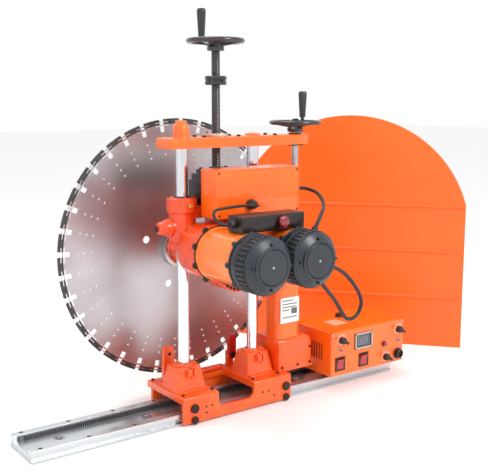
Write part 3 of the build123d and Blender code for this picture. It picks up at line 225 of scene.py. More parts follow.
# Flat near-black for the shade inside slots, grooves, holes and vents: painted shade.
painted_slot_shade = surface("louvre shadow", (0.003, 0.003, 0.004), 0.7, grain=600, depth=0.03)
box_plastic = surface(
    "brown black plastic", (0.022, 0.012, 0.009), 0.33, (0.012, 0.007, 0.006), (0.09, 0.05, 0.04),
    1.0, grain=900, depth=0.04)
brown_bolt = surface(
    "brown black bolts", (0.035, 0.014, 0.008), 0.38, (0.018, 0.008, 0.005), (0.12, 0.06, 0.04),
    0.6, grain=300, depth=0.08, Metallic=0.3)
grip_plastic = surface(
    "grey black grip", (0.035, 0.038, 0.040), 0.36, (0.02, 0.022, 0.024), (0.10, 0.10, 0.10), 0.8,
    grain=700, depth=0.04)
rubber = surface(
    "black rubber", (0.012, 0.011, 0.011), 0.5, (0.02, 0.016, 0.015), grain=900, depth=0.04)
maroon = surface(
    "maroon button", (0.30, 0.006, 0.022), 0.16, (0.22, 0.004, 0.015), (0.6, 0.06, 0.09), 0.8,
    grain=500, depth=0.01, Coat_Weight=0.8, Coat_Roughness=0.05)
rocker_red = surface(
    "red rocker plastic", (0.42, 0.012, 0.008), 0.2, (0.33, 0.008, 0.006), (0.8, 0.10, 0.07), 0.7,
    grain=500, depth=0.01, Coat_Weight=0.5)
lever_red = surface(
    "red lever paint", (0.55, 0.012, 0.012), 0.25, (0.42, 0.008, 0.008), (0.9, 0.12, 0.08), 1.0,
    grain=400, depth=0.04, Coat_Weight=0.5, Coat_Roughness=0.1)
bronze = surface(
    "turned bronze", (0.55, 0.36, 0.17), 0.28, (0.45, 0.28, 0.12), (0.8, 0.6, 0.35), 0.5,
    stretch=(40, 40, 4), grain=60, depth=0.04, slow=30, grain_tint=0.2, Metallic=1.0)
nut_plate = surface(
    "pale nut plate", (0.62, 0.47, 0.40), 0.35, (0.52, 0.38, 0.32), (0.85, 0.75, 0.7), 0.6,
    grain=260, depth=0.05, Metallic=0.5)
band_black = surface(
    "diamond segment", (0.022, 0.021, 0.022), 0.6, (0.06, 0.058, 0.06), (0.25, 0.25, 0.25), 0.5,
    grain=1500, depth=0.25, slow=200)
weld_bright = surface(
    "bright weld line", (0.80, 0.80, 0.82), 0.25, (0.62, 0.62, 0.64),
    grain=900, depth=0.05, Metallic=0.9)
label_white = surface(
    "white label", (0.80, 0.82, 0.80), 0.45, (0.72, 0.75, 0.73), grain=300, depth=0.01)
label_grey = surface("grey label bars", (0.12, 0.13, 0.14), 0.5, grain=300, depth=0.01)
pale_paint = surface(
    "pale panel paint", (0.88, 0.42, 0.26), 0.35, (0.80, 0.36, 0.22), grain=500, depth=0.02)
gold = surface(
    "gilt contact", (0.80, 0.55, 0.18), 0.25, (0.65, 0.42, 0.12),
    grain=500, depth=0.02, Metallic=1.0)
display_dark = surface(
    "display window", (0.035, 0.040, 0.052), 0.12, (0.020, 0.024, 0.034),
    grain=200, depth=0.004, Coat_Weight=0.9, Coat_Roughness=0.04)
digit_grey = surface("display digits", (0.30, 0.33, 0.38), 0.3, grain=300, depth=0.005)
board_green = surface(
    "circuit board", (0.02, 0.16, 0.06), 0.35, (0.015, 0.11, 0.04), grain=500, depth=0.05)

# Blade plate: rings of grinding marks round the spindle, and broad mauve clouds that are a painted
# reflection.
SPINDLE = (-22.0, 157.0, 341.0)
RING_SCALE, RING_DEPTH = 900.0, 0.03
MAUVE_REFLECTION, PALE_MAUVE_REFLECTION, GROUND_GREY = (0.34, 0.29, 0.31), (0.52, 0.51, 0.53), (0.66, 0.65, 0.67)
blade_steel = bpy.data.materials.new("ground saw plate")
blade_steel.use_nodes = True
w = Wires(blade_steel.node_tree)
plate = blade_steel.node_tree.nodes["Principled BSDF"]
centred = w.shade("Mapping", {0: w.shade("TexCoord").outputs["Object"],
                              1: tuple(-c * MM for c in SPINDLE)})
parts = w.shade("SeparateXYZ", {0: centred.outputs[0]})
flat = w.shade("CombineXYZ", {0: parts.outputs[0], 1: parts.outputs[2]})
reach = w.shade("VectorMath", {0: flat.outputs[0]}, operation="LENGTH").outputs["Value"]
rings = w.shade("TexNoise", {"W": reach, "Scale": RING_SCALE, "Detail": 3.0},
                noise_dimensions="1D")
clouds = w.shade("TexNoise", {"Vector": centred.outputs[0], "Scale": 5.0, "Detail": 2.0})
# Broad mauve clouds across the plate: a painted reflection.
tone = w.mix(w.span(clouds.outputs[0], 0, 1, 0.35, 0.65), MAUVE_REFLECTION, PALE_MAUVE_REFLECTION)
tone = w.mix(w.span(rings.outputs[0], 0, 0.3, 0.3, 0.7), tone, GROUND_GREY)
ring_bump = w.shade("Bump", {"Strength": 0.4, "Distance": RING_DEPTH * MM,
                             "Height": rings.outputs[0]})
w.link(tone, plate.inputs["Base Color"])
w.link(w.span(rings.outputs[0], 0.26, 0.42, 0.2, 0.8), plate.inputs["Roughness"])
w.link(ring_bump.outputs[0], plate.inputs["Normal"])
plate.inputs["Metallic"].default_value = 0.9


# ---- mesh building --------------------------------------------------------------------------
SHARP_FROM = 32                  # degrees between faces, past which shading breaks
BEVEL_FROM = 42
FLAT_WITHIN = 0.4
MERGED_WITHIN = 1e-6             # metres
CAD_MERGED_WITHIN = 2e-6
MOST_ROUNDING = 0.45             # of a block's thinnest side


def place_piece(name, mesh, material, body, replaces=()):
    """Links a finished mesh at the origin, ties it to its body and hides the CAD nodes it stands
    for.
    """
    piece = bpy.data.objects.new(name, mesh)
    scene.collection.objects.link(piece)
    mesh.materials.clear()
    mesh.materials.append(material)
    if "custom_normal" in mesh.attributes:
        mesh.attributes.remove(mesh.attributes["custom_normal"])
    mesh.polygons.foreach_set("use_smooth", [True] * len(mesh.polygons))
    mesh.set_sharp_from_angle(angle=radians(SHARP_FROM))
    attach(piece, body)
    if replaces:
        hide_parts(*replaces)
    return piece


def mesh_of(bm, name):
    bmesh.ops.remove_doubles(bm, verts=bm.verts, dist=MERGED_WITHIN)
    bmesh.ops.recalc_face_normals(bm, faces=bm.faces)
    mesh = bpy.data.meshes.new(name)
    bm.to_mesh(mesh)
    bm.free()
    return mesh


def applied(piece):
    """The piece's mesh with its modifiers worked out; the piece itself is removed."""
    graph = bpy.context.evaluated_depsgraph_get()
    mesh = bpy.data.meshes.new_from_object(piece.evaluated_get(graph))
    bpy.data.objects.remove(piece)
    return mesh


def finish_node(node, material, bevel=0.0):
    """A merged, edge-rounded copy of a CAD node stands for it."""
    bm = bmesh.new()
    bm.from_mesh(nodes[node].data)
    bmesh.ops.remove_doubles(bm, verts=bm.verts, dist=CAD_MERGED_WITHIN)
    mesh = bpy.data.meshes.new(node + "_finished")
    if bevel:
        bmesh.ops.dissolve_limit(bm, angle_limit=radians(FLAT_WITHIN), verts=bm.verts,
                                 edges=bm.edges, use_dissolve_boundaries=False)
    bm.to_mesh(mesh)
    bm.free()
    if bevel:
        draft = bpy.data.objects.new(node + "_draft", mesh)
        scene.collection.objects.link(draft)
        rounding = draft.modifiers.new("edges", "BEVEL")
        rounding.width, rounding.segments = bevel * MM, 2
        rounding.limit_method, rounding.angle_limit = "ANGLE", radians(BEVEL_FROM)
        mesh = applied(draft)
        mesh.name = node + "_finished"
    place_piece(node + "_finished", mesh, material, bodies_of[node], (node,))


LATHE_TURNS = {"Z": Matrix.Identity(3), "Y": Matrix(((1, 0, 0), (0, 0, 1), (0, -1, 0))),
               "X": Matrix(((0, 0, 1), (0, 1, 0), (-1, 0, 0)))}


def lathe(bm, profile, origin=(0, 0, 0), axis="Z", segments=48):
    """Turns (radius, distance) pairs about an axis through the origin point."""
    turn = LATHE_TURNS[axis]
    rows = []
    for radius, along in profile:
        if radius < 1e-6:
            rows.append([bm.verts.new((Vector(origin) + turn @ Vector((0, 0, along))) * MM)])
            continue
        row = []
        for k in range(segments):
            a = 2 * pi * k / segments
            spot = Vector(origin) + turn @ Vector((radius * cos(a), radius * sin(a), along))
            row.append(bm.verts.new(spot * MM))
        rows.append(row)
    for low, high in zip(rows, rows[1:]):
        for k in range(segments):
            corners = [low[k % len(low)], low[(k + 1) % len(low)],
                       high[(k + 1) % len(high)], high[k % len(high)]]
            corners = list(dict.fromkeys(corners))
            if len(corners) > 2:
                bm.faces.new(corners)


def brick(bm, xs, ys, zs, bevel):
    """Rounded block between two corners."""
    made = bmesh.ops.create_cube(bm, size=1)["verts"]
    middle = Vector([(a + b) / 2 for a, b in (xs, ys, zs)])
    size = [abs(b - a) for a, b in (xs, ys, zs)]
    for v in made:
        v.co = Vector([v.co[i] * size[i] for i in range(3)])
    edges = list({e for v in made for e in v.link_edges})
    if bevel:
        done = bmesh.ops.bevel(bm, geom=edges, offset=min(bevel, min(size) * MOST_ROUNDING),
                               segments=2, affect="EDGES", profile=0.5)
        made = list({v for f in done["faces"] for v in f.verts} | {v for v in made if v.is_valid})
    for v in made:
        v.co = (v.co + middle) * MM


def blocks(name, items, material, body):
    """Rounded blocks as one piece; an item is (xs, ys, zs, edge rounding)."""
    bm = bmesh.new()
    for xs, ys, zs, bevel in items:
        brick(bm, xs, ys, zs, bevel)
    place_piece(name, mesh_of(bm, name), material, body)


def turned(name, parts_list, material, body, segments=48):
    """Turned shapes as one piece; a part is (profile, origin, axis)."""
    bm = bmesh.new()
    for profile, origin, axis in parts_list:
        lathe(bm, profile, origin, axis, segments)
    place_piece(name, mesh_of(bm, name), material, body)


def round_y(x, z, *profiles):
    return [(profile, (x, 0, z), "Y") for profile in profiles]


def round_z(x, y, *profiles):
    return [(profile, (x, y, 0), "Z") for profile in profiles]


# ---- geometry node trees: pieces set at marked points, and rings of pieces ------------------
def piece_tree(name, inputs):
    """A tree that is given a geometry, a piece and its material, and the inputs named."""
    tree = bpy.data.node_groups.new(name, "GeometryNodeTree")
    first = [("Geometry", "NodeSocketGeometry", None), ("Piece", "NodeSocketObject", None),
             ("Material", "NodeSocketMaterial", None)]
    new_sockets(tree, first + inputs, [("Geometry", "NodeSocketGeometry")])
    wires = Wires(tree)
    given = wires.add("NodeGroupInput").outputs
    source = wires.add("GeometryNodeObjectInfo", {"Object": given["Piece"]})
    return tree, wires, given, source.outputs["Geometry"]


def close_tree(wires, instances, given):
    real = wires.add("GeometryNodeRealizeInstances", {0: instances})
    dressed = wires.add("GeometryNodeSetMaterial",
                        {0: real.outputs[0], "Material": given["Material"]})
    wires.link(dressed.outputs[0], wires.add("NodeGroupOutput").inputs[0])


marks_tree, w, given, source = piece_tree("fasteners at marks",
                                          [("Turn", "NodeSocketRotation", None)])
marks = w.add("GeometryNodeMeshToPoints", {0: given["Geometry"]})
set_pieces = w.add("GeometryNodeInstanceOnPoints",
                   {"Points": marks.outputs[0], "Rotation": given["Turn"], "Instance": source})
close_tree(w, set_pieces.outputs[0], given)

ring_tree, w, given, source = piece_tree("ring of pieces", [
    ("Count", "NodeSocketInt", 12), ("Radius", "NodeSocketFloat", 0.05),
    ("Centre", "NodeSocketVector", None), ("Tilt", "NodeSocketVector", None)])
circle = w.add("GeometryNodeMeshCircle", {"Vertices": given["Count"], "Radius": given["Radius"]})
outward = w.add("FunctionNodeAlignRotationToVector",
                {"Vector": w.add("GeometryNodeInputPosition").outputs[0]},
                axis="X", pivot_axis="Z")
around = w.add("GeometryNodeInstanceOnPoints",
               {"Points": circle.outputs[0], "Rotation": outward.outputs[0], "Instance": source})
placed = w.add("GeometryNodeTransform", {0: around.outputs[0], "Translation": given["Centre"],
                                         "Rotation": given["Tilt"]})
close_tree(w, placed.outputs[0], given)


def run_tree(name, tree, mesh, build, values, material, body):
    """Runs a tree on a mesh, with a small source piece that is removed after use."""
    bm = bmesh.new()
    build(bm)
    source = bpy.data.objects.new(name + "_source", mesh_of(bm, name + "_source"))
    draft = bpy.data.objects.new(name + "_draft", mesh)
    scene.collection.objects.link(source)
    scene.collection.objects.link(draft)
    modifier = draft.modifiers.new("build", "NODES")
    modifier.node_group = tree
    values = {"Piece": source, "Material": material, **values}
    for item in tree.interface.items_tree:
        if item.in_out == "INPUT" and item.name in values:
            modifier[item.identifier] = values[item.name]
    place_piece(name, applied(draft), material, body)
    bpy.data.objects.remove(source)


def at_marks(name, spots, build, material, body, turn=(0, 0, 0)):
    mesh = bpy.data.meshes.new(name + "_marks")
    mesh.from_pydata([Vector(s) * MM for s in spots], [], [])
    run_tree(name, marks_tree, mesh, build, {"Turn": turn}, material, body)


def ring_of(name, count, radius, centre, build, material, body, tilt=(pi / 2, 0, 0)):
    values = {"Count": count, "Radius": radius * MM, "Centre": tuple(Vector(centre) * MM),
              "Tilt": tilt}
    mesh = bpy.data.meshes.new(name + "_start")
    run_tree(name, ring_tree, mesh, build, values, material, body)


def round_stud(profile, segments=20):
    return lambda bm: lathe(bm, profile, segments=segments)


def socket_screw(radius, tall):
    """Cap screw standing on z 0, with a round socket."""
    rim, floor_radius, floor_z = radius * 0.55, radius * 0.5, tall * 0.45
    head = [(radius, 0), (radius, tall * 0.8), (radius * 0.88, tall), (rim, tall)]
    recess = [(rim, tall), (floor_radius, floor_z), (0, tall * 0.4)]

    def build(bm):
        lathe(bm, head, segments=20)
        lathe(bm, recess, segments=20)
    return build


def hex_bolt(radius, tall):
    """Six-sided bolt head on a round washer."""
    washer_top = tall * 0.15
    washer = [(radius * 1.25, 0), (radius * 1.25, washer_top), (radius * 1.02, washer_top)]
    head = [(radius, washer_top), (radius, tall * 0.85), (radius * 0.86, tall), (0, tall)]

    def build(bm):
        lathe(bm, washer, segments=24)
        lathe(bm, head, segments=6)
    return build


TO_OPERATOR = (pi / 2, 0, 0)
TO_LEFT = (0, -pi / 2, 0)
TO_RIGHT = (0, pi / 2, 0)
UPWARD = (0, 0, 0)


def screws(name, spots, size, body, turn=TO_OPERATOR, material=screw_black):
    """Cap screws of one (radius, height) size."""
    at_marks(name, spots, socket_screw(*size), material, body, turn)


# ---- camera ---------------------------------------------------------------------------------
LENS, SENSOR = 62.57, 36
NEAREST, FARTHEST = 0.05, 60
CAMERA_PLACE = (-1.0475, -1.5209, 0.6885)
CAMERA_TURN = (radians(80.7), 0, radians(-36))
camera_data = bpy.data.cameras.new("camera")
camera_data.sensor_width, camera_data.lens = SENSOR, LENS
camera_data.clip_start, camera_data.clip_end = NEAREST, FARTHEST
camera = bpy.data.objects.new("camera", camera_data)
camera.location = CAMERA_PLACE
camera.rotation_euler = CAMERA_TURN
scene.collection.objects.link(camera)
scene.camera = camera

# ---- cables ---------------------------------------------------------------------------------
MOTOR_X = (-80.0, 36.0)
MOTOR_Z = 370.343
CAP_RADIUS = 57.0
GLAND_STANDS_OUT = 11.02


def gland_mouth(y, turn, beyond=0.0):
    """The mouth of a gland on the right motor's cap, or a point straight out from it."""
    out_by = CAP_RADIUS + GLAND_STANDS_OUT + beyond
    return (MOTOR_X[1] + out_by * cos(radians(turn)), y, MOTOR_Z + out_by * sin(radians(turn)))


def lay_cable(name, node, points, radius, material):
    curve = bpy.data.curves.new(name, "CURVE")
    curve.dimensions, curve.bevel_depth = "3D", radius * MM
    curve.bevel_resolution, curve.resolution_u, curve.use_fill_caps = 4, 12, True
    line = curve.splines.new("NURBS")
    line.points.add(len(points) - 1)
    for point, spot in zip(line.points, points):
        point.co = (*(Vector(spot) * MM), 1)
    line.order_u, line.use_endpoint_u = 3, True
    curve.materials.append(material)
    cable = bpy.data.objects.new(name, curve)
    scene.collection.objects.link(cable)
    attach(cable, "head")
    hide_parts(node)


lay_cable("feed_to_motor_cable", "motor_cable", [
    (145, -60, 488), (160, -60, 488), (175, -68, 487.5), (184, -84, 484), (184, -103, 479),
    (176, -124, 472), (163, -146, 466), (146, -168, 461), (127, -189, 458), (108, -208, 457),
    (92, -222, 453), gland_mouth(-228, 58, 16), gland_mouth(-228, 58)], 4.0, rubber)
lay_cable("switch_lead", "switch_cable", [
    (5, -110, 466), (5, -119.5, 466), (1.4, -128.3, 466.7), (-5.4, -135, 468),
    (-14.2, -138.7, 469), (-26, -140, 470.2), (-43, -141.5, 471.5), (-62, -144, 472),
    (-82, -147, 471.6), (-101, -149, 470.8), (-118.4, -150.1, 469.9), (-127.6, -154.1, 466.3),
    (-133, -161, 460.1), (-133, -169, 452.9), (-127.6, -175.9, 446.7), (-118.4, -180, 443),
    (-109, -180, 443)], 3.0, rubber)
lay_cable("loop_lead", "loop_cable", [
    gland_mouth(-232, -20), gland_mouth(-232, -20, 17), (136, -229, 333), (157, -225, 321),
    (177, -221, 305), (194, -218, 288), (208, -215, 272), (216.8, -213, 259.5), (221, -212, 244),
    (216.8, -211, 228.5), (205.5, -211, 217.2), (190, -212, 213), (174.5, -214, 217.2),
    (163.2, -216, 228.5), (149, -219, 246), (134, -223, 264), (116, -228, 281),
    gland_mouth(-232, -50, 20), gland_mouth(-232, -50)], 4.2, rubber)

# ---- CAD nodes: a finish and an edge rounding for each that shows ---------------------------
FINISHES = {
    "rail": (rail_metal, 0), "rail_screws": (screw_black, 0), "rack": (dark_rack, 0),
    "carriage_casting": (cast_paint, 1.4), "carriage_pins": (brown_bolt, 0.5),
    "columns": (chrome, 0), "guide_shoes": (bronze, 0), "top_beam": (sheet_paint, 0.9),
    "lift_nut": (nut_plate, 0.6), "feed_gearbox": (cast_paint, 1.4),
    "feed_motor_housing": (sheet_paint, 0), "feed_shaft": (steel, 0),
    "feed_output_shaft": (steel, 0), "rollers_left": (steel, 0.5), "rollers_right": (steel, 0.5),
    "lock_lever": (lever_red, 0.8), "head_casting": (rough_paint, 1.6),
    "gear_case_lid": (rough_paint, 1.2), "motor_gaskets": (rubber, 0),
    "motor_housings": (housing_paint, 0), "motor_caps": (cap_plastic, 0),
    "thrust_block": (black_iron, 1.0), "cover_box": (sheet_paint, 0.6),
    "cable_glands": (rubber, 0.6), "switch_box": (box_plastic, 0.8), "estop_button": (maroon, 0),
    "spindle": (steel, 0.6), "blade_core": (blade_steel, 0), "blade_segments": (band_black, 0),
    "blade_clamp": (steel, 0.8), "feed_handwheel": (black_iron, 0),
    "lift_handwheel": (black_iron, 0), "lift_grip": (grip_plastic, 0),
    "feed_grip": (grip_plastic, 0), "blade_guard": (guard_paint, 0),
    "column_bushes": (bronze, 0), "control_box_shell": (sheet_paint, 0),
    "control_box_base": (sheet_paint, 0.3), "control_box_feet": (rubber, 0.8),
    "panel_fittings": (box_plastic, 0.4), "rocker_left": (rocker_red, 0.6),
    "rocker_right": (rocker_red, 0.6), "panel_knob_1": (box_plastic, 0.8),
    "panel_knob_2": (box_plastic, 0.8), "panel_knob_3": (box_plastic, 0.8),
    "display": (display_dark, 0),
}
for node, (material, bevel) in FINISHES.items():
    finish_node(node, material, bevel)

# Nodes inside, kept as they are with a better material.
INSIDE = {
    "bull_gear": steel, "motor_rotor_left": steel, "motor_rotor_right": steel,
    "motor_stators": dark_rack, "feed_rotor": steel, "feed_stator": dark_rack,
    "feed_bushes": bronze, "head_bearings": steel, "starter_board": board_green,
    "control_board": board_green,
}
for node, material in INSIDE.items():
    nodes[node].data.materials.clear()
    nodes[node].data.materials.append(material)

# ---- lift screw with a two-start thread -----------------------------------------------------
SCREW_X = -17.0
SCREW_LOW, SCREW_HIGH = 470.0, 796.0
THREADED = (541, 786)
THREAD_TOP, THREAD_DEEP, THREAD_PITCH = 9.5, 1.1, 5.0
THREAD_STARTS = 2
FLANK, CREST = 2.2, 0.2          # steepness of the flanks, and how far the crest stays flat
SCREW_SIDES, STEPS_A_PITCH = 24, 6
THRUST_COLLAR = [(9, 535.3), (15, 535.3), (15, 540.3), (9, 540.3)]
STOP_COLLAR = [(9, 714), (21.5, 714), (23.5, 716), (23.5, 721), (22.3, 722), (22.3, 725),
               (23.5, 726), (23.5, 731), (21.5, 733), (9, 733)]


def threaded_rod(bm):
    rows = []
    steps = int((SCREW_HIGH - SCREW_LOW) / THREAD_PITCH * STEPS_A_PITCH)
    for step in range(steps + 1):
        z = SCREW_LOW + step * THREAD_PITCH / STEPS_A_PITCH
        row = []
        for k in range(SCREW_SIDES):
            a = 2 * pi * k / SCREW_SIDES
            wave = (z / THREAD_PITCH - THREAD_STARTS * k / SCREW_SIDES) % 1
            cut = THREAD_DEEP * min(1.0, max(0.0, FLANK * (0.5 - abs(wave - 0.5)) - CREST))
            radius = THREAD_TOP - (cut if THREADED[0] < z < THREADED[1] else 0)
            spot = Vector((SCREW_X + radius * cos(a), radius * sin(a), z))
            row.append(bm.verts.new(spot * MM))
        rows.append(row)
    for low, high in zip(rows, rows[1:]):
        for k in range(SCREW_SIDES):
            after = (k + 1) % SCREW_SIDES
            bm.faces.new((low[k], low[after], high[after], high[k]))
    bm.faces.new(rows[-1])
    bm.faces.new(rows[0])


bm = bmesh.new()
threaded_rod(bm)
lathe(bm, THRUST_COLLAR, (SCREW_X, 0, 0))
lathe(bm, STOP_COLLAR, (SCREW_X, 0, 0))
place_piece("threaded_lift_screw", mesh_of(bm, "threaded_lift_screw"), black_iron, "lift_screw",
            ("lift_screw",))

# ---- handwheel hubs -------------------------------------------------------------------------
FEED_X = 203.0
for name, x, z, body in (("lift", SCREW_X, 806.0, "lift_screw"),
                         ("feed", FEED_X, 631.0, "feed_hand_shaft")):
    hub = [(8, z - 21), (17, z - 21), (18.5, z - 18), (18.5, z - 13), (14.5, z - 10), (14, z - 8)]
    turned(name + "_hub_rings", round_z(x, 0, hub), black_iron, body)
    at_marks(name + "_hub_nut", [(x, 0, z + 4)], hex_bolt(7.5, 5), screw_black, body)
screws("stop_collar_screw", [(SCREW_X, -23.2, 723.5)], (3, 1.6), "lift_screw")

# ---- motors: louvres, rings and end discs on the caps, lobes and bands on the housings ------
LOUVRES = 36
LOUVRE_BLOCK = ((-1.0, 1.3), (-2.3, 2.3), (-13, 13), 1.0)
CAP_SCREW = [(0, 3.4), (2.4, 3.2), (3, 2.2), (3, -2)]
SLOT_BAND = [(57.0, -267), (57.3, -266), (57.3, -240), (57.0, -239)]
CAP_RINGS = (
    [(57, -238), (58.2, -237), (58.2, -234), (57, -233)],
    [(56.8, -221.5), (59, -221), (59, -218.4), (56.8, -218.2)],
    [(41, -281.2), (40.5, -284.2), (36.5, -285), (35, -283.8), (34.5, -283)],
    [(33, -284.6), (31.5, -285), (24, -284.9), (23, -284.4)],
)
END_GROOVE = [(34.8, -284.96), (32.4, -284.97)]
CENTRE_DOT = [(3.2, -284.9), (2.6, -285), (0, -285)]
GASKET_LOBE = [(0, 3), (6.5, 3), (7, 2.2), (7, -2.2), (6.5, -3), (0, -3)]
JOINT_LOBE = [(0, 4), (5.5, 4), (6, 3), (6, -4), (0, -4)]
HOUSING_BANDS = (
    [(55, -108), (56.2, -107), (56.2, -100), (55, -99)],
    [(55, -212), (56.0, -211), (56.0, -205), (55, -204)],
)
for side, x in zip(("left", "right"), MOTOR_X):
    ring_of(f"cap_louvres_{side}", LOUVRES, 57.2, (x, -253, MOTOR_Z),
            lambda bm: brick(bm, *LOUVRE_BLOCK), cap_plastic, "head")
    ring_of(f"cap_screws_{side}", 4, 45, (x, -279.5, MOTOR_Z), round_stud(CAP_SCREW, 16),
            screw_black, "head")
    # A dark band behind the louvres: painted shade in the gaps between them.
    turned(f"cap_slot_band_{side}", round_y(x, MOTOR_Z, SLOT_BAND), painted_slot_shade, "head")
    turned(f"cap_rings_{side}", round_y(x, MOTOR_Z, *CAP_RINGS), cap_plastic, "head",
           64)
    # A flat dark ring on the end face for its groove: painted shade.
    turned(f"cap_end_groove_{side}", round_y(x, MOTOR_Z, END_GROOVE), painted_slot_shade, "head",
           64)
    turned(f"cap_centre_dot_{side}", round_y(x, MOTOR_Z, CENTRE_DOT), steel, "head",
           24)
    ring_of(f"gasket_lobes_{side}", 9, 57.5, (x, -96.5, MOTOR_Z), round_stud(GASKET_LOBE),
            rubber, "head")
    ring_of(f"joint_lobes_{side}", 8, 55, (x, -214, MOTOR_Z), round_stud(JOINT_LOBE),
            cap_plastic, "head")
    turned(f"housing_bands_{side}", round_y(x, MOTOR_Z, *HOUSING_BANDS), housing_paint, "head",
           64)

# ---- head casting details -------------------------------------------------------------------
COLUMNS_X = (-105.0, 81.0)
SPINDLE_X, SPINDLE_Z = SPINDLE[0], SPINDLE[2]
SLEEVE_RINGS = (
    [(29, 371), (32, 372), (32.6, 375), (32.6, 381), (32, 384), (29, 385.5)],
    [(29, 446), (31.5, 448), (33, 452), (33, 458)],
    [(17.6, 478.1), (19.5, 480), (24, 480.4), (27, 478.2)],
)
WIPERS = (
    [(13.3, 480.5), (15, 482), (18.5, 481.5), (19.5, 478.6)],
    [(13.3, 368.8), (15, 367.8), (18.5, 368.2), (19.5, 370.9)],
)
for side, x in zip(("left", "right"), COLUMNS_X):
    turned(f"sleeve_rings_{side}", round_z(x, 0, *SLEEVE_RINGS), rough_paint, "head")
    turned(f"wiper_{side}", round_z(x, 0, *WIPERS), rubber, "head")
at_marks("sleeve_brass_bolt", [(-105, -28.5, 415), (-105, -31.9, 465), (81, -31.9, 465)],
         hex_bolt(6, 6), gold, "head", TO_OPERATOR)
turned("boss_rings", [([(17, -134), (19.4, -135), (19.4, -142), (17, -143)], (0, 0, 417), "X")],
       rough_paint, "head")
at_marks("boss_nut", [(-168.2, 0, 417)], hex_bolt(6, 0.8), screw_black, "head",
         TO_LEFT)

CASE_REACH, CASE_FRONT, CASE_SCREWS_BELOW = 54, -95, 308
case_turns = [radians(200 + k * 140 / 13) for k in range(14)]
case_spots = [(SPINDLE_X + CASE_REACH * cos(a), CASE_FRONT, SPINDLE_Z + CASE_REACH * sin(a))
              for a in case_turns]
screws("case_screws", [s for s in case_spots if s[2] < CASE_SCREWS_BELOW], (3.2, 3.2), "head")
screws("thrust_block_screws",
       [(-44, -20, 535), (-44, 20, 535), (22, -20, 535), (22, 20, 535), (-58, 0, 527)],
       (4, 3.5), "head", UPWARD)
blocks("thrust_block_ribs",
       [((-51, 29), (-28.4, -27), (z - 2.5, z + 2.5), 0.6) for z in (476, 488, 500, 512, 524)],
       black_iron, "head")
turned("blade_arbor_end",
       round_y(SPINDLE_X, SPINDLE_Z, [(12.6, 186), (12.6, 186.6), (11.4, 187), (0, 187)]),
       steel, "spindle")
# Flat dark discs for the clamp's pin holes: painted shade.
ring_of("clamp_pin_holes", 4, 33, (SPINDLE_X, 169, SPINDLE_Z),
        round_stud([(3.4, 0), (3.4, -0.15), (0, -0.2)]), painted_slot_shade, "spindle")
turned("quill_rings",
       round_y(SPINDLE_X, SPINDLE_Z, [(36, 132), (38, 133), (38, 136.5), (36, 138)],
               [(36, -29), (41, -27), (42, -20), (40, -14), (36, -11)]),
       rough_paint, "head", 64)

# ---- blade: a bright weld line under each segment, and a bright line along it ---------------
SEGMENTS = 36
BLADE_TILT = (pi / 2, radians(-7.6) - pi / 2, 0)


def arc_strips(radii, middle, half_turn, steps, stand_off):
    """Short arcs just off both faces of the plate, centred on +X."""
    half = radians(half_turn)
    turns = [half * (2 * k / steps - 1) for k in range(steps + 1)]

    def build(bm):
        for face in (-1, 1):
            inner, outer = (
                [bm.verts.new(Vector((radius * cos(a) - middle, radius * sin(a),
                                      face * stand_off)) * MM) for a in turns]
                for radius in radii)
            for k in range(steps):
                bm.faces.new((inner[k], inner[k + 1], outer[k + 1], outer[k]))
    return build


ring_of("segment_welds", SEGMENTS, 286.6, SPINDLE, arc_strips((284.6, 288.6), 286.6, 3.55, 4, 2.12),
        weld_bright, "spindle", BLADE_TILT)
ring_of("segment_grooves", SEGMENTS, 293.5, SPINDLE,
        arc_strips((292.6, 294.4), 293.5, 3.2, 2, 2.72), weld_bright, "spindle",
        BLADE_TILT)

# ---- carriage details -----------------------------------------------------------------------
ears = []
for x in COLUMNS_X:
    for side in (-1, 1):
        ears += [((x + side * 2, x + side * 12), (-40, -26), (95, 111), 1.6),
                 ((x + side * 16, x + side * 25), (-12, 12), (110.5, 117), 1.8),
                 ((x - 36, x + 36), (side * 30, side * 44), (61.5, 66), 1.6)]
blocks("socket_clamp_ears", ears, cast_paint, "carriage")
COLLAR = [(13.2, 112), (13.2, 116.6), (14.4, 117.8), (18, 117.8), (20, 116), (21, 112)]
turned("socket_collars", [(COLLAR, (x, 0, 0), "Z") for x in COLUMNS_X], cast_paint, "carriage")
at_marks("ear_bolts", [(-93, -33, 103), (93, -33, 103)], hex_bolt(4, 3), screw_black, "carriage",
         TO_RIGHT)
SKIRT_Y, DECK_Z, BEAM_Z = -69, 62, 605
screws("skirt_screws", [(x, SKIRT_Y, 34) for x in (-92, -77, 60, 76)]
       + [(x, SKIRT_Y, 20) for x in (-92, 92)], (2.2, 1.4), "carriage")
screws("deck_bolts", [(x, y, DECK_Z) for x in (-140, -66, 44, 116) for y in (-52, 76)],
       (3.6, 3.2), "carriage", UPWARD)
blocks("window_rear_bar", [((-60, 36), (52, 68.5), (58, 70), 2.2),
                           ((-52, 28), (-70.2, -60.5), (26.0, 28.2), 1.0)],
       rough_paint, "carriage")
screws("rear_lug_screws", [(-108, 56, 122), (-108, 56, 96)], (3.6, 2.6), "carriage")
screws("feed_box_screws", [(130, -50, 72), (176, -50, 72), (212, -50, 72), (212, -50, 110)],
       (3, 2.4), "carriage")
screws("beam_screws", [(x, y, BEAM_Z) for x in (-60, 30, 130) for y in (-18, 18)],
       (4.4, 3.6), "carriage", UPWARD)
NUT_SCREW_REACH, NUT_PLATE_TOP = 21, 612
screws("nut_plate_screws",
       [(SCREW_X + NUT_SCREW_REACH * cos(a), NUT_SCREW_REACH * sin(a), NUT_PLATE_TOP)
        for a in (0.6, 2.2, 3.8, 5.4)], (3, 2.4), "carriage", UPWARD)
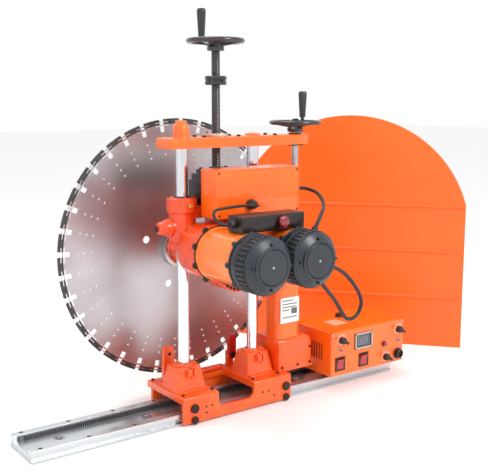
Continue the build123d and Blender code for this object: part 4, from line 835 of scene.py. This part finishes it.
turned("beam_end_flange",
       round_z(FEED_X, 0, [(8.4, 578.2), (15, 578.2), (21, 580), (21, 583), (8.4, 583)],
               [(8.4, 605), (14, 605), (15, 606), (15, 607.4), (14, 608), (8.4, 608)]),
       black_iron, "carriage")
turned("housing_foot_ring", round_z(153, -20, [(26, 139), (34, 139), (34, 141), (26, 144)]),
       cast_paint, "carriage")
blocks("blank_label", [((124, 178), (-50.6, -49.9), (177, 236), 0.25)], label_white, "carriage")
BAR_Y = (-50.9, -50.5)
bars = [((x0, x1), BAR_Y, (z - 1.2, z + 1.2), 0) for x0, x1, z in
        ((129, 160, 229), (129, 172, 221), (129, 168, 214), (129, 150, 207), (129, 172, 190))]
blocks("label_bars", bars + [((155, 172), BAR_Y, (197, 211), 0)], label_grey, "carriage")

# ---- cover and switch box -------------------------------------------------------------------
screws("cover_screws", [(-74, -95, 447), (131, -95, 447), (-74, -95, 534), (131, -95, 534)],
       (2.2, 1.4), "head")
blocks("cover_folds", [((-79.5, 136.5), (-96.2, -94.8), (538.6, 541), 0.5),
                       ((134.8, 137), (-96.2, -94.8), (440.5, 540.8), 0.5)],
       sheet_paint, "head")
turned("estop_collar",
       round_y(0, 443, [(12.2, -207.6), (14.5, -207.9), (15.6, -206.6), (15.6, -205)]),
       box_plastic, "head")
screws("switch_box_screws",
       [(-88, -205, 432), (-88, -205, 452), (55, -205, 432), (55, -205, 452)],
       (1.8, 1.0), "head")

# ---- control box panel ----------------------------------------------------------------------
PANEL_Y = -90.0
KNOBS = ((277, 122, 11), (425, 55, 9), (467, 119, 9))     # x, z and the marks round it
LAMPS = ((274, 98), (466, 92))
SCALE_REACH, SCALE_SWEEP = 15.2, 240


def on_panel(x, z, profile):
    """A profile of (radius, distance out from the panel) pairs, turned at one place on it."""
    return [([(radius, PANEL_Y - out) for radius, out in profile], (x, 0, z), "Y")]


plates = []
scale_marks = []
for x, z, count in KNOBS:
    plates += on_panel(x, z, [(9, 0), (9, 0.25), (12.6, 0.28), (13, 0)])
    for k in range(count):
        a = radians(SCALE_SWEEP * k / (count - 1) - SCALE_SWEEP / 2)
        mark_x, mark_z = x + SCALE_REACH * sin(a), z + SCALE_REACH * cos(a)
        scale_marks.append(((mark_x - 0.5, mark_x + 0.5), (PANEL_Y - 0.3, PANEL_Y),
                            (mark_z - 1.4, mark_z + 1.4), 0))
turned("knob_plates", plates, pale_paint, "base")
blocks("knob_scale_marks", scale_marks, label_white, "base")

DISPLAY_X, DISPLAY_Z = (319.0, 375.0), (92.0, 130.0)
BEZEL_WIDE, BEZEL_Y, BEZEL_ROUND = 3.4, (-93.8, -92.9), 0.4
blocks("display_bezel", [
    (DISPLAY_X, BEZEL_Y, (DISPLAY_Z[1] - BEZEL_WIDE, DISPLAY_Z[1]), BEZEL_ROUND),
    (DISPLAY_X, BEZEL_Y, (DISPLAY_Z[0], DISPLAY_Z[0] + BEZEL_WIDE), BEZEL_ROUND),
    ((DISPLAY_X[0], DISPLAY_X[0] + BEZEL_WIDE), BEZEL_Y, DISPLAY_Z, BEZEL_ROUND),
    ((DISPLAY_X[1] - BEZEL_WIDE, DISPLAY_X[1]), BEZEL_Y, DISPLAY_Z, BEZEL_ROUND),
], steel, "base")
DIGITS_X, DIGIT_MIDDLE_Z, DIGIT_Y = (333, 345, 357), 111, (-91.8, -91.5)
DIGIT_BARS = (((-3, 3), (8, 9)), ((-3, 3), (-0.5, 0.5)), ((-3, 3), (-9, -8)),
              ((-4, -3), (0.6, 8)), ((3, 4), (0.6, 8)), ((-4, -3), (-8, -0.6)),
              ((3, 4), (-8, -0.6)))
blocks("display_digits",
       [((x + x0, x + x1), DIGIT_Y, (DIGIT_MIDDLE_Z + z0, DIGIT_MIDDLE_Z + z1), 0)
        for x in DIGITS_X for (x0, x1), (z0, z1) in DIGIT_BARS],
       digit_grey, "base")

lenses = [part for x, z in LAMPS for part in on_panel(x, z, [(3.9, 2.9), (3.4, 4.4), (0, 5.2)])]
lamp_rims = [part for x, z in LAMPS
             for part in on_panel(x, z, [(4.2, 0), (4.4, 2.6), (5.8, 2.4), (6.2, 0)])]
turned("lamp_lenses", lenses, lever_red, "base")
turned("lamp_bezels", lamp_rims, steel, "base")
turned("fuse_cap", on_panel(417, 90, [(7.4, 0), (7.4, 1.6), (6.1, 2), (5.4, 7.2), (4.6, 8),
                                      (0, 8)]), maroon, "base")
turned("inlet_ring", on_panel(466, 57, [(14, 0), (14, 2), (11.6, 2.6), (11.2, 9), (10, 10.6),
                                        (8.1, 10.4), (8.1, 3.4), (0, 3.2)]),
       box_plastic, "base")
ring_of("inlet_pins", 4, 4.4, (466, -93.2, 57),
        round_stud([(1.1, 0), (1.1, 4), (0.7, 4.8), (0, 4.9)], 12), steel, "base")
screws("panel_screws", [(x, PANEL_Y, z) for x, z in ((251, 43), (479, 43), (251, 137),
                                                     (479, 137), (482, 84))],
       (2, 1.2), "base", material=steel)
LID_Z = 143
screws("lid_screws", [(251, -84, LID_Z), (479, -84, LID_Z), (251, 54, LID_Z), (479, 54, LID_Z)],
       (2.2, 1.2), "base", UPWARD)
blocks("lid_patch", [((300, 342), (-40, 4), (142.9, 143.3), 0.1)], pale_paint, "base")
turned("lid_socket_contact", round_z(367, 20, [(5.9, 145.2), (5.9, 147), (3, 149), (0, 149.4)]),
       gold, "base")
# Thin black strips for the side vents: painted shade.
blocks("side_vents", [(xs, (-58 + k * 9, -55 + k * 9), (72, 112), 0.2)
                      for k in range(9) for xs in ((485, 485.5), (244.5, 245))],
       painted_slot_shade, "base")
WASHER = [(7.2, 14.0), (7.6, 14.25), (11.5, 14.25), (12, 14.0)]
turned("anchor_washers", [(WASHER, (x, 0, 0), "Z") for x in (-400, -200, 200, 400)], steel,
       "base", 32)

# ---- guard: rivets along its foot -----------------------------------------------------------
GUARD_FOOT = Vector((789.0, -41.4, 0))
GUARD_TURN = radians(130)
RIVET_Z = 20
ALONG = Vector((cos(GUARD_TURN), sin(GUARD_TURN), 0))
OUTWARD = Vector((sin(GUARD_TURN), -cos(GUARD_TURN), 0))
FACE_OUT = tuple((-OUTWARD).to_track_quat("Z", "Y").to_euler())
at_marks("guard_rivets",
         [GUARD_FOOT + ALONG * s + Vector((0, 0, RIVET_Z)) for s in (22, 180, 333, 486, 644)],
         round_stud([(4, 0), (3.4, 1.2), (0, 1.8)], 16), guard_paint, "blade_guard",
         FACE_OUT)

# ---- floor, light ---------------------------------------------------------------------------
FLOOR_SIZE, FLOOR_BELOW = 30, -0.0005
FLOOR_WHITE = (0.93, 0.93, 0.93, 1)
bpy.ops.mesh.primitive_plane_add(size=FLOOR_SIZE, location=(0, 0, FLOOR_BELOW))
floor = bpy.context.object
floor.name = "floor"
floor_white = bpy.data.materials.new("pale floor")
floor_white.use_nodes = True
floor_shader = floor_white.node_tree.nodes["Principled BSDF"]
floor_shader.inputs["Base Color"].default_value = FLOOR_WHITE
floor_shader.inputs["Roughness"].default_value = 0.7
floor.data.materials.append(floor_white)

world = bpy.data.worlds.new("studio")
scene.world = world
world.use_nodes = True
world.node_tree.nodes["Background"].inputs["Color"].default_value = (1, 1, 1, 1)
world.node_tree.nodes["Background"].inputs["Strength"].default_value = 1.0


def soft_light(name, place, target, size, watts):
    data = bpy.data.lights.new(name, "AREA")
    data.shape, data.size, data.energy = "DISK", size, watts
    lamp = bpy.data.objects.new(name, data)
    lamp.location = place
    lamp.rotation_euler = (Vector(target) - Vector(place)).to_track_quat("-Z", "Y").to_euler()
    scene.collection.objects.link(lamp)


soft_light("key", (0.9, -2.6, 2.3), (0.1, 0, 0.3), 1.3, 62)
soft_light("top", (-0.3, 0.6, 2.9), (0, 0, 0.3), 1.6, 25)
soft_light("fill", (-2.8, -0.9, 1.2), (0, 0, 0.35), 1.8, 5)
scene.view_settings.view_transform = "Standard"
